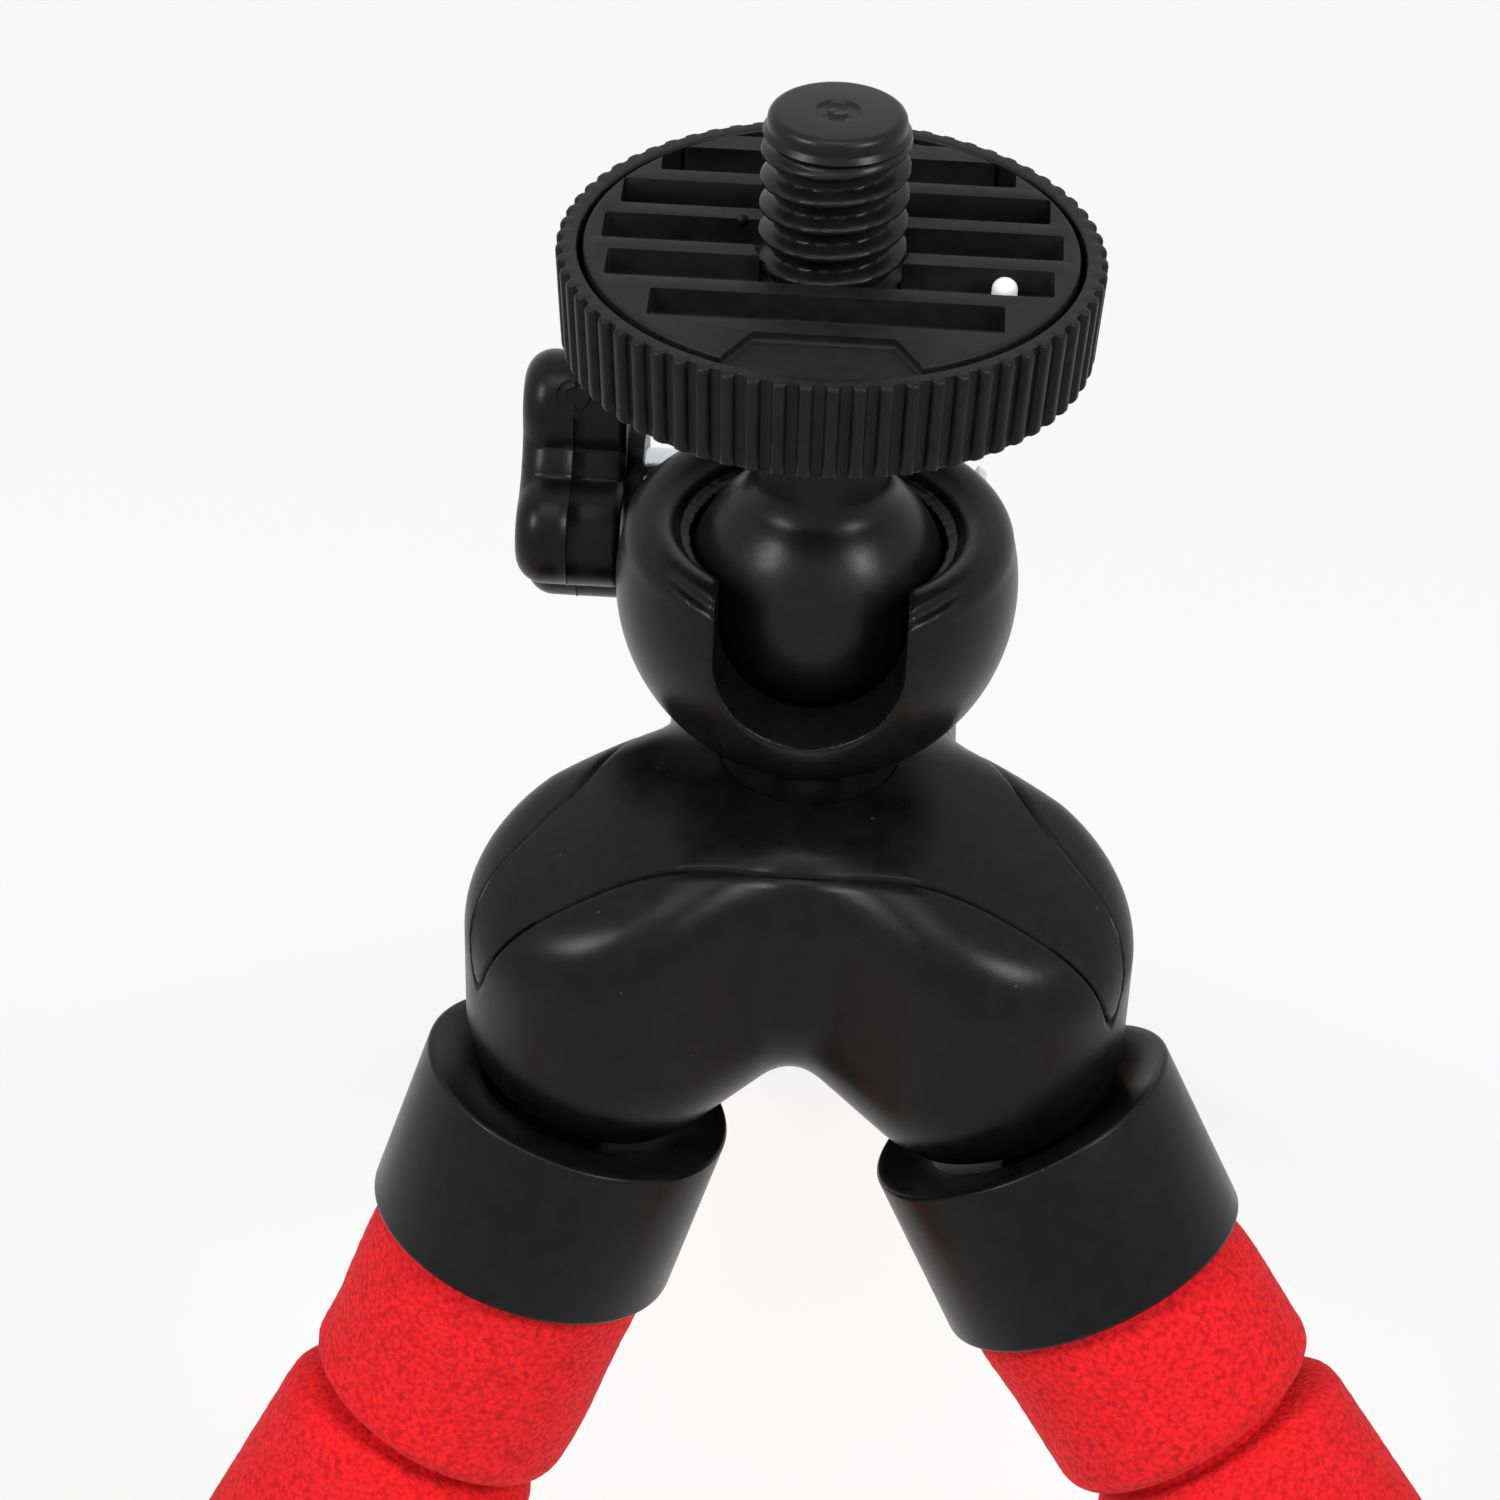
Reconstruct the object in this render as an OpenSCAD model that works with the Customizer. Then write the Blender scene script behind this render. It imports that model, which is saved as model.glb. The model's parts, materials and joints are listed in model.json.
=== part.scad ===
// Pocket tripod with three bendable foam legs and a ball head.
// Z is up, the origin is the middle of the camera seat, and the ball cup's slot faces -Y.

/* [Ball stud] */
// Diameter of the camera screw over its thread
screw_d = 6.35; // [6.1:0.05:6.4]
// Length of the camera screw above the seat
screw_len = 6.3; // [4.5:0.1:7.5]
// Diameter of the screw's flat tip
screw_tip_d = 5.4; // [4.8:0.1:5.8]
// Diameter of the neck between the ball and the screw
neck_d = 6; // [5.4:0.1:6.2]
// Diameter of the ball
ball_d = 11.8; // [11.2:0.1:12.4]
// Height of the seat above the ball's centre
seat_h = 17.2; // [16:0.1:20]
// Radius of the fillet where the neck meets the ball
neck_fillet = 1.6; // [0.8:0.1:2]

/* [Lock ring and pad] */
// Outer diameter of the knurled ring at its top
ring_d = 23.6; // [22:0.1:26]
// Height of the ring
ring_h = 4.5; // [4:0.1:5.5]
// Thickness of the ring's side wall under the knurl, at its foot
ring_wall = 0.35; // [0.3:0.05:0.9]
// Thickness of the ring's floor
ring_floor = 1.3; // [1:0.1:1.6]
// How much smaller the ring's radius is at the bottom
ring_draft = 0.25; // [0:0.05:0.5]
// Number of knurl flutes round the ring
knurl_count = 66; // [48:1:72]
// Depth of the knurl flutes
knurl_depth = 0.35; // [0.2:0.05:0.5]
// Radial gap between the pad and the ring
pad_gap = 0.25; // [0.2:0.05:0.5]
// How far the pad's ribs stand above the ring
pad_rise = 0.1; // [0.05:0.05:0.5]
// Distance from one pad groove to the next
groove_pitch = 3.15; // [2.6:0.05:3.4]
// Number of pad grooves
groove_count = 6; // [4:1:6]
// How far the pattern of grooves lies forward of the screw
groove_shift = 0.9; // [0:0.1:1.2]
// Width of the ribs between the pad grooves
rib_w = 1; // [0.6:0.1:1.4]
// Depth of the pad grooves
groove_depth = 0.8; // [0.4:0.1:1.2]
// Least width of the plain border round the grooves
pad_border = 0.4; // [0.3:0.1:1.6]
// Diameter of the white index pip on the pad
pip_d = 1.1; // [0.8:0.1:1.2]
// Distance of the pip to the right of the screw
pip_out = 7.4; // [5:0.1:8]
// How far the pip's top lies below the ribs
pip_low = 0.12; // [0:0.02:0.3]

/* [Ball cup] */
// Outer diameter of the cup
cup_d = 18.2; // [17.4:0.1:20]
// Gap between the ball and the cup
cup_gap = 0.25; // [0.15:0.05:0.35]
// Height of the cup's mouth above the ball's centre
mouth_h = 2.3; // [1.8:0.1:2.8]
// Radius of the rounded lip round the mouth
lip_r = 1.25; // [0.9:0.05:1.4]
// How much wider the lip's mouth is than the ball's cavity, on each side
lip_gap = 0.15; // [0.1:0.05:0.3]
// Width of the front slot that the neck tips into
slot_w = 8.4; // [7.6:0.1:9]
// Space left under the neck when it lies in the slot
slot_spare = 0.45; // [0.3:0.05:0.7]
// Width of the rear split
split_w = 1.6; // [1:0.1:2]
// Thickness of each rear ear
ear_t = 3.2; // [2.4:0.1:4]
// Diameter of the rear ears
ear_d = 6.6; // [6:0.1:7.4]
// Distance of the clamp screw behind the ball's centre
clamp_back = 10.4; // [10:0.1:11.5]
// Distance of the clamp screw below the ball's centre
clamp_drop = 1.8; // [0:0.1:3]
// Diameter of the cup's round stub
stub_d = 8.4; // [7.6:0.1:9]
// Depth of the stub in the hub
stub_depth = 3.4; // [2.5:0.1:4]

/* [Clamp] */
// Diameter of the clamp screw
clamp_d = 3; // [2.5:0.1:3.2]
// Reach of the clamp screw's free end past the middle of the cup
clamp_reach = 7.6; // [7.2:0.1:9]
// Distance of the knob's boss from the middle of the cup
knob_stand = 8.6; // [8:0.1:10]
// Thickness of the knob without its boss
knob_t = 5; // [4:0.1:6]
// Length of the knob's boss
knob_boss_len = 0.7; // [0.4:0.1:1.5]
// Diameter of the knob's boss
knob_boss_d = 5.4; // [4.6:0.1:6]
// Distance of the knob's lobes from its axis
knob_lobe_out = 4.3; // [3.8:0.1:4.6]
// Radius of the knob's lobes
knob_lobe_r = 2.5; // [2:0.1:2.7]
// Turn of the knob's lobes from the upright, in degrees
knob_turn = 6; // [-45:1:45]
// Radius of the rounding on the knob's outer face
knob_round = 1.8; // [1:0.1:2.2]
// Width of the nut across its flats
nut_flats = 5.5; // [5.2:0.1:6]
// Thickness of the nut
nut_t = 2.4; // [1.8:0.1:2.8]

/* [Hub] */
// Radius of the hub's three lobes
lobe_r = 7; // [6.6:0.1:7.4]
// Distance of the lobes from the axis
lobe_out = 10; // [9.4:0.1:11]
// Distance of the lobes' centres below the ball's centre
lobe_drop = 21.3; // [20.5:0.1:23]
// Height of the underside's keel line over the lobes' centres, at the axis
keel_rise = 4.5; // [3.5:0.1:5]
// Height of the domed top over the lobes' centres
dome_rise = 14; // [13:0.1:15]
// Slope of the domed top in degrees
dome_slope = 14.5; // [10:0.5:18]
// Depth of the dish round the cup's stub
dish_depth = 3.2; // [2:0.1:4]
// Radius over which that dish fades out
dish_reach = 5.5; // [4.5:0.1:6.5]
// Blend between the top and the side walls
edge_blend = 3.6; // [2:0.1:5]
// Blend in the valleys between the lobes
valley_blend = 2; // [1:0.1:3]
// Angle of the shells' seam from the vertical at a lobe's tip
seam_tip = 81; // [78:0.5:84]
// Angle of the shells' seam from the vertical in a valley
seam_valley = 50; // [46:0.5:56]
// Diameter of the centre screw that holds the cup and the shells together
centre_screw_d = 3.5; // [3:0.1:4]
// Diameter of the centre screw's head
centre_head_d = 7; // [6.7:0.1:7.4]
// Height of the centre screw's head
centre_head_h = 2; // [1.5:0.1:2.4]
// Thickness of the floor that the centre screw's head pulls on, below the shells' meeting point
centre_web = 1.8; // [1.4:0.1:2.2]
// Length of the centre screw's thread in the cup's stub
centre_bite = 3; // [2:0.1:3.4]

/* [Leg tops] */
// Diameter of the ball at the top of each leg
leg_ball_d = 7.6; // [7:0.1:7.8]
// Gap between a leg's ball and its socket
socket_gap = 0.1; // [0.05:0.05:0.2]
// Diameter of the stem below each leg ball
stem_d = 3.6; // [3.4:0.1:3.8]
// Splay of a collar at the middle of its swing, in degrees
swing_middle = 24; // [20:0.5:26]
// Swing of a collar to either side of that, in degrees
swing_reach = 16; // [12:0.5:17]
// Spare angle in the socket's mouth at the end of the swing, in degrees
swing_spare = 3; // [1:0.5:4]
// Outer diameter of the collars
collar_d = 15.3; // [15.1:0.1:16.2]
// Length of the collars
collar_len = 8.8; // [8.4:0.1:11]
// Distance of a collar's rim from its leg ball's centre
collar_start = 3.8; // [3.6:0.1:4.4]
// Gap between a collar's dish and its lobe
dish_gap = 0.35; // [0.25:0.05:0.45]
// Half angle of the relief under each lobe that the collar's rim swings into
relief_angle = 60; // [50:1:62]
// Thickness of a collar's wall at its mouth
collar_wall = 0.35; // [0.3:0.01:0.4]
// Depth of a collar's mouth
collar_mouth = 3.6; // [3.4:0.1:3.9]

/* [Legs] */
// Diameter of the foam
foam_d = 13.8; // [13:0.1:13.9]
// How much smaller the foam's radius is where it enters the collar
foam_taper = 0.3; // [0.25:0.05:0.5]
// Length of the foam's first stretch, below the collar
first_len = 10; // [9:0.1:14]
// Distance from one foam groove to the next
groove_step = 17; // [14:0.1:20]
// Number of foam stretches on a leg
stretch_count = 6; // [4:1:6]
// Radius of the foam's rounded shoulders at the grooves
shoulder_r = 1.4; // [1:0.1:2]
// Most that a leg bends at one groove, in degrees
bend_limit = 20; // [14:1:24]
// Spare angle in each groove at that bend, in degrees
bend_spare = 1; // [0.5:0.1:2]
// Diameter of the bendable wire
wire_d = 3.2; // [2.6:0.1:3.4]
// Gap between the wire and its foam
wire_gap = 0.05; // [0.03:0.01:0.1]
// Gap in the wire's links at the grooves
link_gap = 0.15; // [0.1:0.05:0.25]
// Outer diameter of the foot caps
foot_d = 15; // [14.6:0.1:16]
// Length of foam inside a foot cap
foot_grip = 7; // [5:0.1:9]
// Gap between the foam and its foot cap
foot_gap = 0.1; // [0.05:0.05:0.2]

/* [Stance] */
// Splay of the front left collar in degrees
left_collar = 20.5; // [10:0.5:30]
// Splay of the front right collar in degrees
right_collar = 32.5; // [10:0.5:36]
// Splay of the rear collar in degrees
rear_collar = 34; // [10:0.5:38]
// Splay of the front left leg below its collar
left_splay = 24; // [20:0.5:36]
// Splay of the front right leg below its collar
right_splay = 41; // [30:0.5:44]
// Splay of the rear leg below its collar
rear_splay = 46; // [30:0.5:48]
// Splay of the rear leg at its foot
rear_toe = 51; // [40:0.5:54]

/* [Fits] */
// Radial clearance of turning and sliding parts
run_gap = 0.06; // [0.03:0.01:0.1]
// Radial clearance of the screw and neck in the pad and the ring
bush_gap = 0.15; // [0.1:0.05:0.3]
// Clearance of fixed parts in their holes
seat_gap = 0.03; // [0.02:0.01:0.06]

/* [Hidden] */
$fn = 64;
LEGS = ["front_left", "front_right", "rear"];
LEG_TURN = [210, 330, 90];
COLLAR_SPLAY = [left_collar, right_collar, rear_collar];
FOAM_SPLAY = [left_splay, right_splay, rear_splay];
STRETCHES = [for (k = [1:stretch_count]) k];

black = "#202022";
foam_red = "#ed2a2d";
steel = "#b4b7bb";
over = 1;

// Head: heights along Z
ball_r = ball_d/2;
ball_z = -seat_h;
cup_r = cup_d/2;
cavity_r = ball_r + cup_gap;
ring_top = -pad_rise;
ring_bottom = ring_top - ring_h;
ring_r = ring_d/2;
flute_r = 1.5*knurl_depth;
ring_bore = ring_r - knurl_depth - ring_draft - ring_wall;
pad_r = ring_bore - pad_gap;
pad_bottom = ring_bottom + ring_floor + run_gap;
groove_w = groove_pitch - rib_w;
pip_groove = 2;
function groove_y(k) = (k - (groove_count - 1)/2)*groove_pitch - groove_shift;
clamp_y = clamp_back;
clamp_z = ball_z - clamp_drop;
ear_face = split_w/2 + ear_t;
nut_d = nut_flats/cos(30);

// Hub: the lobes' centres, and the point from which its surface is measured
lobe_z = ball_z - lobe_drop;
keel_z = lobe_z + keel_rise;
dome_z = lobe_z + dome_rise;
dome_crown = 3;
core_rise = 2.5;
core_z = lobe_z + core_rise;
rim_steps = 48;
upper_rows = 9;
lower_rows = 12;
stub_z = dome_height(stub_d/2) - stub_depth;
centre_floor = core_z - centre_web;
centre_tip = stub_z + centre_bite;
head_gap = 0.3;

// Legs: lengths along their own line
foam_r = foam_d/2;
wire_r = wire_d/2;
wire_bore = wire_r + wire_gap;
link_r = wire_r + link_gap;
half_groove = (bend_limit + bend_spare)/2;
shoulder_out = foam_r - shoulder_r;
shoulder_at = shoulder_out*tan(half_groove) + shoulder_r/cos(half_groove);
hinge_at = collar_start + collar_len;
socket_r = leg_ball_d/2 + socket_gap;
socket_flare = swing_reach + swing_spare + asin(stem_d/2/socket_r);
rim_sweep = norm([collar_start, collar_d/2]) + dish_gap;
lobe_skin = 0.1;
plug_up = 1.5;
plug_taper = 3;
plug_round = 0.9;
foot_r = foot_d/2;
function stretch_len(k) = k == 1 ? first_len : groove_step;

// Stance: all three feet reach the floor that the rear leg stands on
function fade(from, to, k) = from + (to - from)*(k - 1)/(stretch_count - 1);
function splay(leg, k) = fade(FOAM_SPLAY[leg], TOE[leg], k);
function sum(list, k = 0) = k < len(list) ? list[k] + sum(list, k + 1) : 0;
function leg_drop(leg, toe) =
    hinge_at*cos(COLLAR_SPLAY[leg])
    + sum([for (k = STRETCHES) stretch_len(k)*cos(fade(FOAM_SPLAY[leg], toe, k))]);
function toe_for(leg, drop, low = -10, high = 88, steps = 30) =
    let (middle = (low + high)/2)
    steps == 0 ? middle
    : leg_drop(leg, middle) > drop ? toe_for(leg, drop, middle, high, steps - 1)
    : toe_for(leg, drop, low, middle, steps - 1);
stand_drop = leg_drop(2, rear_toe);
TOE = [toe_for(0, stand_drop), toe_for(1, stand_drop), rear_toe];
function along(angle) = [sin(angle), -cos(angle)];
function hinge(leg, k) =
    k == 1 ? [lobe_out, lobe_z] + hinge_at*along(COLLAR_SPLAY[leg])
    : hinge(leg, k - 1) + stretch_len(k - 1)*along(splay(leg, k - 1));

// Hub surface: three rounded arms under a dished dome, found along rays from the core
function blend_min(a, b, width) = min(a, b) - pow(max(width - abs(a - b), 0), 2)/(4*width);
function blend_max(a, b, width) = -blend_min(-a, -b, width);
function edge_gap(p, a, b) =
    let (line = b - a)
    norm(p - a - line*max(0, min(1, (p - a)*line/(line*line))));
function keel_height(u) = keel_z + (lobe_z - keel_z)*u/lobe_out;
function arm_plane_gap(u, z) =
    u >= 0 && u <= lobe_out && z >= keel_height(u) ? 0
    : min(
        edge_gap([u, z], [0, keel_z], [lobe_out, lobe_z]),
        edge_gap([u, z], [0, keel_z], [0, 0]),
        edge_gap([u, z], [lobe_out, lobe_z], [lobe_out, 0])
    );
function arm_gap(p, turn) =
    let (u = p.x*cos(turn) + p.y*sin(turn), side = p.y*cos(turn) - p.x*sin(turn))
    norm([side, arm_plane_gap(u, p.z)]) - lobe_r;
function dome_height(r) =
    dome_z - tan(dome_slope)*norm([r, dome_crown]) - dish_depth*exp(-pow(r/dish_reach, 2));
function hub_gap(p) =
    let (
        front = blend_min(arm_gap(p, 0), arm_gap(p, 120), valley_blend),
        arms = blend_min(front, arm_gap(p, 240), valley_blend),
        dome = (p.z - dome_height(norm([p.x, p.y])))*cos(dome_slope)
    )
    blend_max(arms, dome, edge_blend);
function ray(turn, tilt) = [sin(tilt)*cos(turn), sin(tilt)*sin(turn), cos(tilt)];
function reach(way, low = 0, high = 30, steps = 16) =
    let (middle = (low + high)/2)
    steps == 0 ? middle
    : hub_gap([0, 0, core_z] + middle*way) < 0 ? reach(way, middle, high, steps - 1)
    : reach(way, low, middle, steps - 1);
function seam_tilt(turn) = seam_valley + (seam_tip - seam_valley)*pow(cos(1.5*turn), 4);
function upper_tilt(turn, row) = seam_tilt(turn)*row/upper_rows;
function lower_tilt(turn, row) = seam_tilt(turn) + (180 - seam_tilt(turn))*row/lower_rows;

// Turn from the nearest lobe, in whole steps, so that each lobe and its mirror image are alike
sector = rim_steps/3;
function folded(step) = let (s = step % sector) min(s, sector - s);
function rim(reaches) = [
    for (step = [0:rim_steps - 1])
    let (turn = step*360/rim_steps + LEG_TURN[2], r = reaches[folded(step)])
    [0, 0, core_z] + r.x*ray(turn, r.y)
];

module leg_place(leg, point, angle) {
    rotate([0, 0, LEG_TURN[leg]])
        translate([point.x, 0, point.y])
            rotate([0, -angle, 0])
                children();
}

module ball_stud() {
    neck_r = neck_d/2;
    fillet_x = neck_r + neck_fillet;
    fillet_z = sqrt(pow(ball_r + neck_fillet, 2) - pow(fillet_x, 2));
    touch = ball_r/(ball_r + neck_fillet);
    tip_drop = (screw_d - screw_tip_d)/2;
    color(black) {
        translate([0, 0, ball_z]) {
            sphere(ball_r);
            cylinder(r = neck_r, h = seat_h);
            rotate_extrude()
                difference() {
                    polygon([[0, 0], [fillet_x, fillet_z]*touch, [fillet_x, fillet_z], [0, fillet_z]]);
                    translate([fillet_x, fillet_z])
                        circle(neck_fillet);
                }
        }
        cylinder(d = screw_d, h = screw_len - tip_drop);
        translate([0, 0, screw_len - tip_drop])
            cylinder(d1 = screw_d, d2 = screw_tip_d, h = tip_drop);
    }
}

module pad_grooves() {
    for (k = [0:groove_count - 1]) {
        y = groove_y(k);
        room = pow(pad_r - pad_border, 2) - pow(abs(y) + groove_w/2, 2);
        half_len = sqrt(max(room, 0));
        if (room > 0)
            translate([-half_len, y - groove_w/2, -groove_depth])
                cube([2*half_len, groove_w, groove_depth + over]);
    }
}

module camera_pad() {
    color(black)
        difference() {
            translate([0, 0, pad_bottom])
                cylinder(r = pad_r, h = -pad_bottom);
            pad_grooves();
            translate([0, 0, pad_bottom - over])
                cylinder(d = max(screw_d, neck_d) + 2*bush_gap, h = -pad_bottom + 2*over);
        }
}

module index_pip() {
    pip_y = groove_y(pip_groove) + (groove_w - pip_d)/2 - seat_gap;
    color("white")
        translate([pip_out, pip_y, -groove_depth])
            cylinder(d = pip_d, h = groove_depth - pip_low);
}

module lock_ring() {
    color(black)
        difference() {
            intersection() {
                translate([0, 0, ring_bottom])
                    linear_extrude(ring_h)
                        difference() {
                            circle(ring_r);
                            for (k = [0:knurl_count - 1])
                                rotate(360*k/knurl_count)
                                    translate([ring_r - knurl_depth + flute_r, 0])
                                        circle(flute_r, $fn = 16);
                        }
                translate([0, 0, ring_bottom])
                    cylinder(r1 = ring_r - ring_draft, r2 = ring_r, h = ring_h);
            }
            translate([0, 0, ring_bottom + ring_floor])
                cylinder(r = ring_bore, h = ring_h);
            translate([0, 0, ring_bottom - over])
                cylinder(d = neck_d + 2*bush_gap, h = ring_h);
        }
}

module clamp_axis() {
    translate([0, clamp_y, clamp_z])
        rotate([0, 90, 0])
            children();
}

module cup_slot() {
    slot_r = slot_w/2;
    slot_z = slot_r - neck_d/2 - slot_spare;
    translate([-slot_r, -cup_d, slot_z])
        cube([slot_w, cup_d, cup_d]);
    translate([0, 0, slot_z])
        rotate([90, 0, 0])
            cylinder(r = slot_r, h = cup_d);
}

module ball_cup() {
    lip_out = cavity_r + lip_gap + lip_r;
    ear_r = ear_d/2;
    split_low = clamp_drop + ear_r + over;
    color(black)
        difference() {
            union() {
                translate([0, 0, ball_z]) {
                    difference() {
                        sphere(cup_r);
                        translate([0, 0, mouth_h])
                            cylinder(r = cup_d, h = cup_d);
                    }
                    translate([0, 0, mouth_h])
                        rotate_extrude()
                            translate([lip_out, 0])
                                circle(lip_r);
                }
                clamp_axis()
                    cylinder(r = ear_r, h = 2*ear_face, center = true);
                translate([-ear_face, 0, clamp_z - ear_r])
                    cube([2*ear_face, clamp_y, ear_d]);
                translate([0, 0, stub_z])
                    cylinder(d = stub_d, h = ball_z - stub_z);
            }
            translate([0, 0, ball_z]) {
                sphere(cavity_r);
                translate([0, 0, mouth_h])
                    cylinder(r = lip_out - lip_r, h = 2*lip_r);
                cup_slot();
                translate([-split_w/2, 0, -split_low])
                    cube([split_w, cup_d, cup_d]);
            }
            clamp_axis() {
                cylinder(d = clamp_d + 2*run_gap, h = cup_d, center = true);
                translate([0, 0, ear_face])
                    cylinder(d = nut_d + 2*run_gap, h = cup_d);
            }
            translate([0, 0, stub_z - over])
                cylinder(d = centre_screw_d + 2*seat_gap, h = centre_tip - stub_z + over + seat_gap);
        }
}

module clamp_screw() {
    color(steel)
        clamp_axis()
            translate([0, 0, -knob_stand - knob_boss_len - knob_t/2])
                cylinder(d = clamp_d, h = knob_stand + knob_boss_len + knob_t/2 + clamp_reach);
}

module knob_outline() {
    circle(knob_lobe_out);
    for (k = [0:3])
        rotate(90*k + knob_turn) {
            translate([knob_lobe_out, 0])
                circle(knob_lobe_r);
            translate([0, -knob_lobe_r])
                square([knob_lobe_out, 2*knob_lobe_r]);
        }
}

module clamp_knob() {
    reach_r = knob_lobe_out + knob_lobe_r;
    color(black)
        clamp_axis()
            translate([0, 0, -knob_stand - knob_boss_len])
                difference() {
                    union() {
                        cylinder(d = knob_boss_d, h = knob_boss_len);
                        translate([0, 0, -knob_t])
                            intersection() {
                                linear_extrude(knob_t)
                                    knob_outline();
                                rotate_extrude() {
                                    translate([0, knob_round])
                                        square([reach_r, knob_t - knob_round]);
                                    square([reach_r - knob_round, knob_t]);
                                    translate([reach_r - knob_round, knob_round])
                                        circle(knob_round);
                                }
                            }
                    }
                    translate([0, 0, -knob_t/2 - seat_gap])
                        cylinder(d = clamp_d + 2*seat_gap, h = knob_t);
                }
}

module clamp_nut() {
    color(steel)
        clamp_axis()
            translate([0, 0, ear_face])
                difference() {
                    cylinder(d = nut_d, h = nut_t, $fn = 6);
                    translate([0, 0, -over])
                        cylinder(d = clamp_d + 2*run_gap, h = nut_t + 2*over);
                }
}

module centre_screw() {
    color(steel) {
        translate([0, 0, centre_floor - centre_head_h - seat_gap])
            cylinder(d = centre_head_d, h = centre_head_h);
        translate([0, 0, centre_floor - centre_head_h])
            cylinder(d = centre_screw_d, h = centre_tip - centre_floor + centre_head_h);
    }
}

// Closed shell between a first point, rows of rim points and a last point
module rim_shell(first, rows, last) {
    count = len(rows);
    end = count*rim_steps + 1;
    function at(row, step) = 1 + row*rim_steps + step % rim_steps;
    steps = [0:rim_steps - 1];
    polyhedron(
        points = concat([first], [for (row = rows) each row], [last]),
        faces = concat(
            [for (s = steps) [0, at(0, s + 1), at(0, s)]],
            [for (r = [0:count - 2], s = steps) each [
                [at(r, s), at(r, s + 1), at(r + 1, s + 1)],
                [at(r, s), at(r + 1, s + 1), at(r + 1, s)]
            ]],
            [for (s = steps) [at(count - 1, s), at(count - 1, s + 1), end]]
        )
    );
}

function turn_of(fold) = fold*360/rim_steps;
function measured(turn, tilt) = [reach(ray(turn, tilt)), tilt];
function upper_row(row) = rim([for (f = [0:sector/2]) measured(turn_of(f), upper_tilt(turn_of(f), row))]);
function lower_row(row) = rim([for (f = [0:sector/2]) measured(turn_of(f), lower_tilt(turn_of(f), row))]);
function pole(tilt) = [0, 0, core_z + cos(tilt)*reach(ray(0, tilt))];

module socket_ball(leg) {
    leg_place(leg, [lobe_out, lobe_z], 0)
        sphere(socket_r);
}

module hub_upper() {
    color(black)
        difference() {
            rim_shell(pole(0), [for (row = [1:upper_rows]) upper_row(row)], [0, 0, core_z]);
            for (leg = [0:2])
                socket_ball(leg);
            translate([0, 0, stub_z - seat_gap])
                cylinder(d = stub_d + 2*run_gap, h = cup_d);
            translate([0, 0, core_z - over])
                cylinder(d = centre_screw_d + 2*run_gap, h = cup_d);
        }
}

module leg_socket(leg) {
    mouth_len = lobe_r + 2*over;
    socket_ball(leg);
    leg_place(leg, [lobe_out, lobe_z], 0)
        cylinder(r = socket_r, h = lobe_r);
    leg_place(leg, [lobe_out, lobe_z], swing_middle)
        translate([0, 0, -mouth_len])
            cylinder(r1 = mouth_len*tan(socket_flare), r2 = 0, h = mouth_len);
}

module rim_relief(leg) {
    leg_place(leg, [lobe_out, lobe_z], 0)
        difference() {
            intersection() {
                sphere(rim_sweep);
                translate([0, 0, -rim_sweep])
                    cylinder(r1 = rim_sweep*tan(relief_angle), r2 = 0, h = rim_sweep);
            }
            sphere(lobe_r + lobe_skin);
        }
}

module hub_lower() {
    color(black)
        difference() {
            rim_shell([0, 0, core_z], [for (row = [0:lower_rows - 1]) lower_row(row)], pole(180));
            for (leg = [0:2]) {
                leg_socket(leg);
                rim_relief(leg);
            }
            translate([0, 0, centre_floor - lobe_r])
                cylinder(d = centre_head_d + 2*head_gap, h = lobe_r);
            translate([0, 0, centre_floor - over])
                cylinder(d = centre_screw_d + 2*run_gap, h = lobe_r);
        }
}

module leg_ball(leg) {
    ceiling = hinge_at - collar_mouth;
    color(black)
        leg_place(leg, [lobe_out, lobe_z], COLLAR_SPLAY[leg]) {
            sphere(d = leg_ball_d);
            translate([0, 0, -ceiling])
                cylinder(d = stem_d, h = ceiling);
            translate([0, 0, -hinge_at])
                cylinder(r = wire_r, h = collar_mouth + over);
            translate([0, 0, -hinge_at])
                sphere(wire_r);
        }
}

module collar(leg) {
    collar_r = collar_d/2;
    edge = 0.4;
    mouth_r = collar_r - collar_wall;
    color(black)
        leg_place(leg, [lobe_out, lobe_z], COLLAR_SPLAY[leg])
            difference() {
                rotate_extrude()
                    polygon([
                        [0, -hinge_at],
                        [collar_r, -hinge_at],
                        [collar_r, -collar_start - edge],
                        [collar_r - edge, -collar_start],
                        [0, -collar_start]
                    ]);
                sphere(lobe_r + dish_gap);
                translate([0, 0, -hinge_at - over])
                    cylinder(r = mouth_r, h = collar_mouth + over);
                translate([0, 0, -hinge_at])
                    cylinder(d = stem_d + 2*seat_gap, h = hinge_at);
            }
}

// Points of an arc from one angle to another
function arc(centre, r, from, to, steps = 6) =
    [for (k = [0:steps]) let (a = from + (to - from)*k/steps) centre + r*[cos(a), sin(a)]];

// Foam stretch along -Z from its upper hinge, shouldered at each groove
module foam_stretch(length, plugged, last) {
    groove_in = wire_bore*tan(half_groove);
    groove_tilt = 90 - half_groove;
    plug_r = foam_r - foam_taper;
    top = plugged
        ? [
            [wire_r + plug_round, plug_up],
            [plug_r - plug_round, plug_up],
            [plug_r, 0],
            [foam_r, -plug_taper]
        ]
        : concat([[wire_bore, -groove_in]], arc([shoulder_out, -shoulder_at], shoulder_r, groove_tilt, 0));
    bottom = last
        ? [[foam_r, -length], [wire_bore, -length]]
        : concat(
            arc([shoulder_out, shoulder_at - length], shoulder_r, 0, -groove_tilt),
            [[wire_bore, groove_in - length]]
        );
    bore = plugged ? [[wire_bore, -wire_r], [link_r, 0]] : [];
    rotate_extrude()
        polygon(concat(top, bottom, bore));
}

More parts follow.
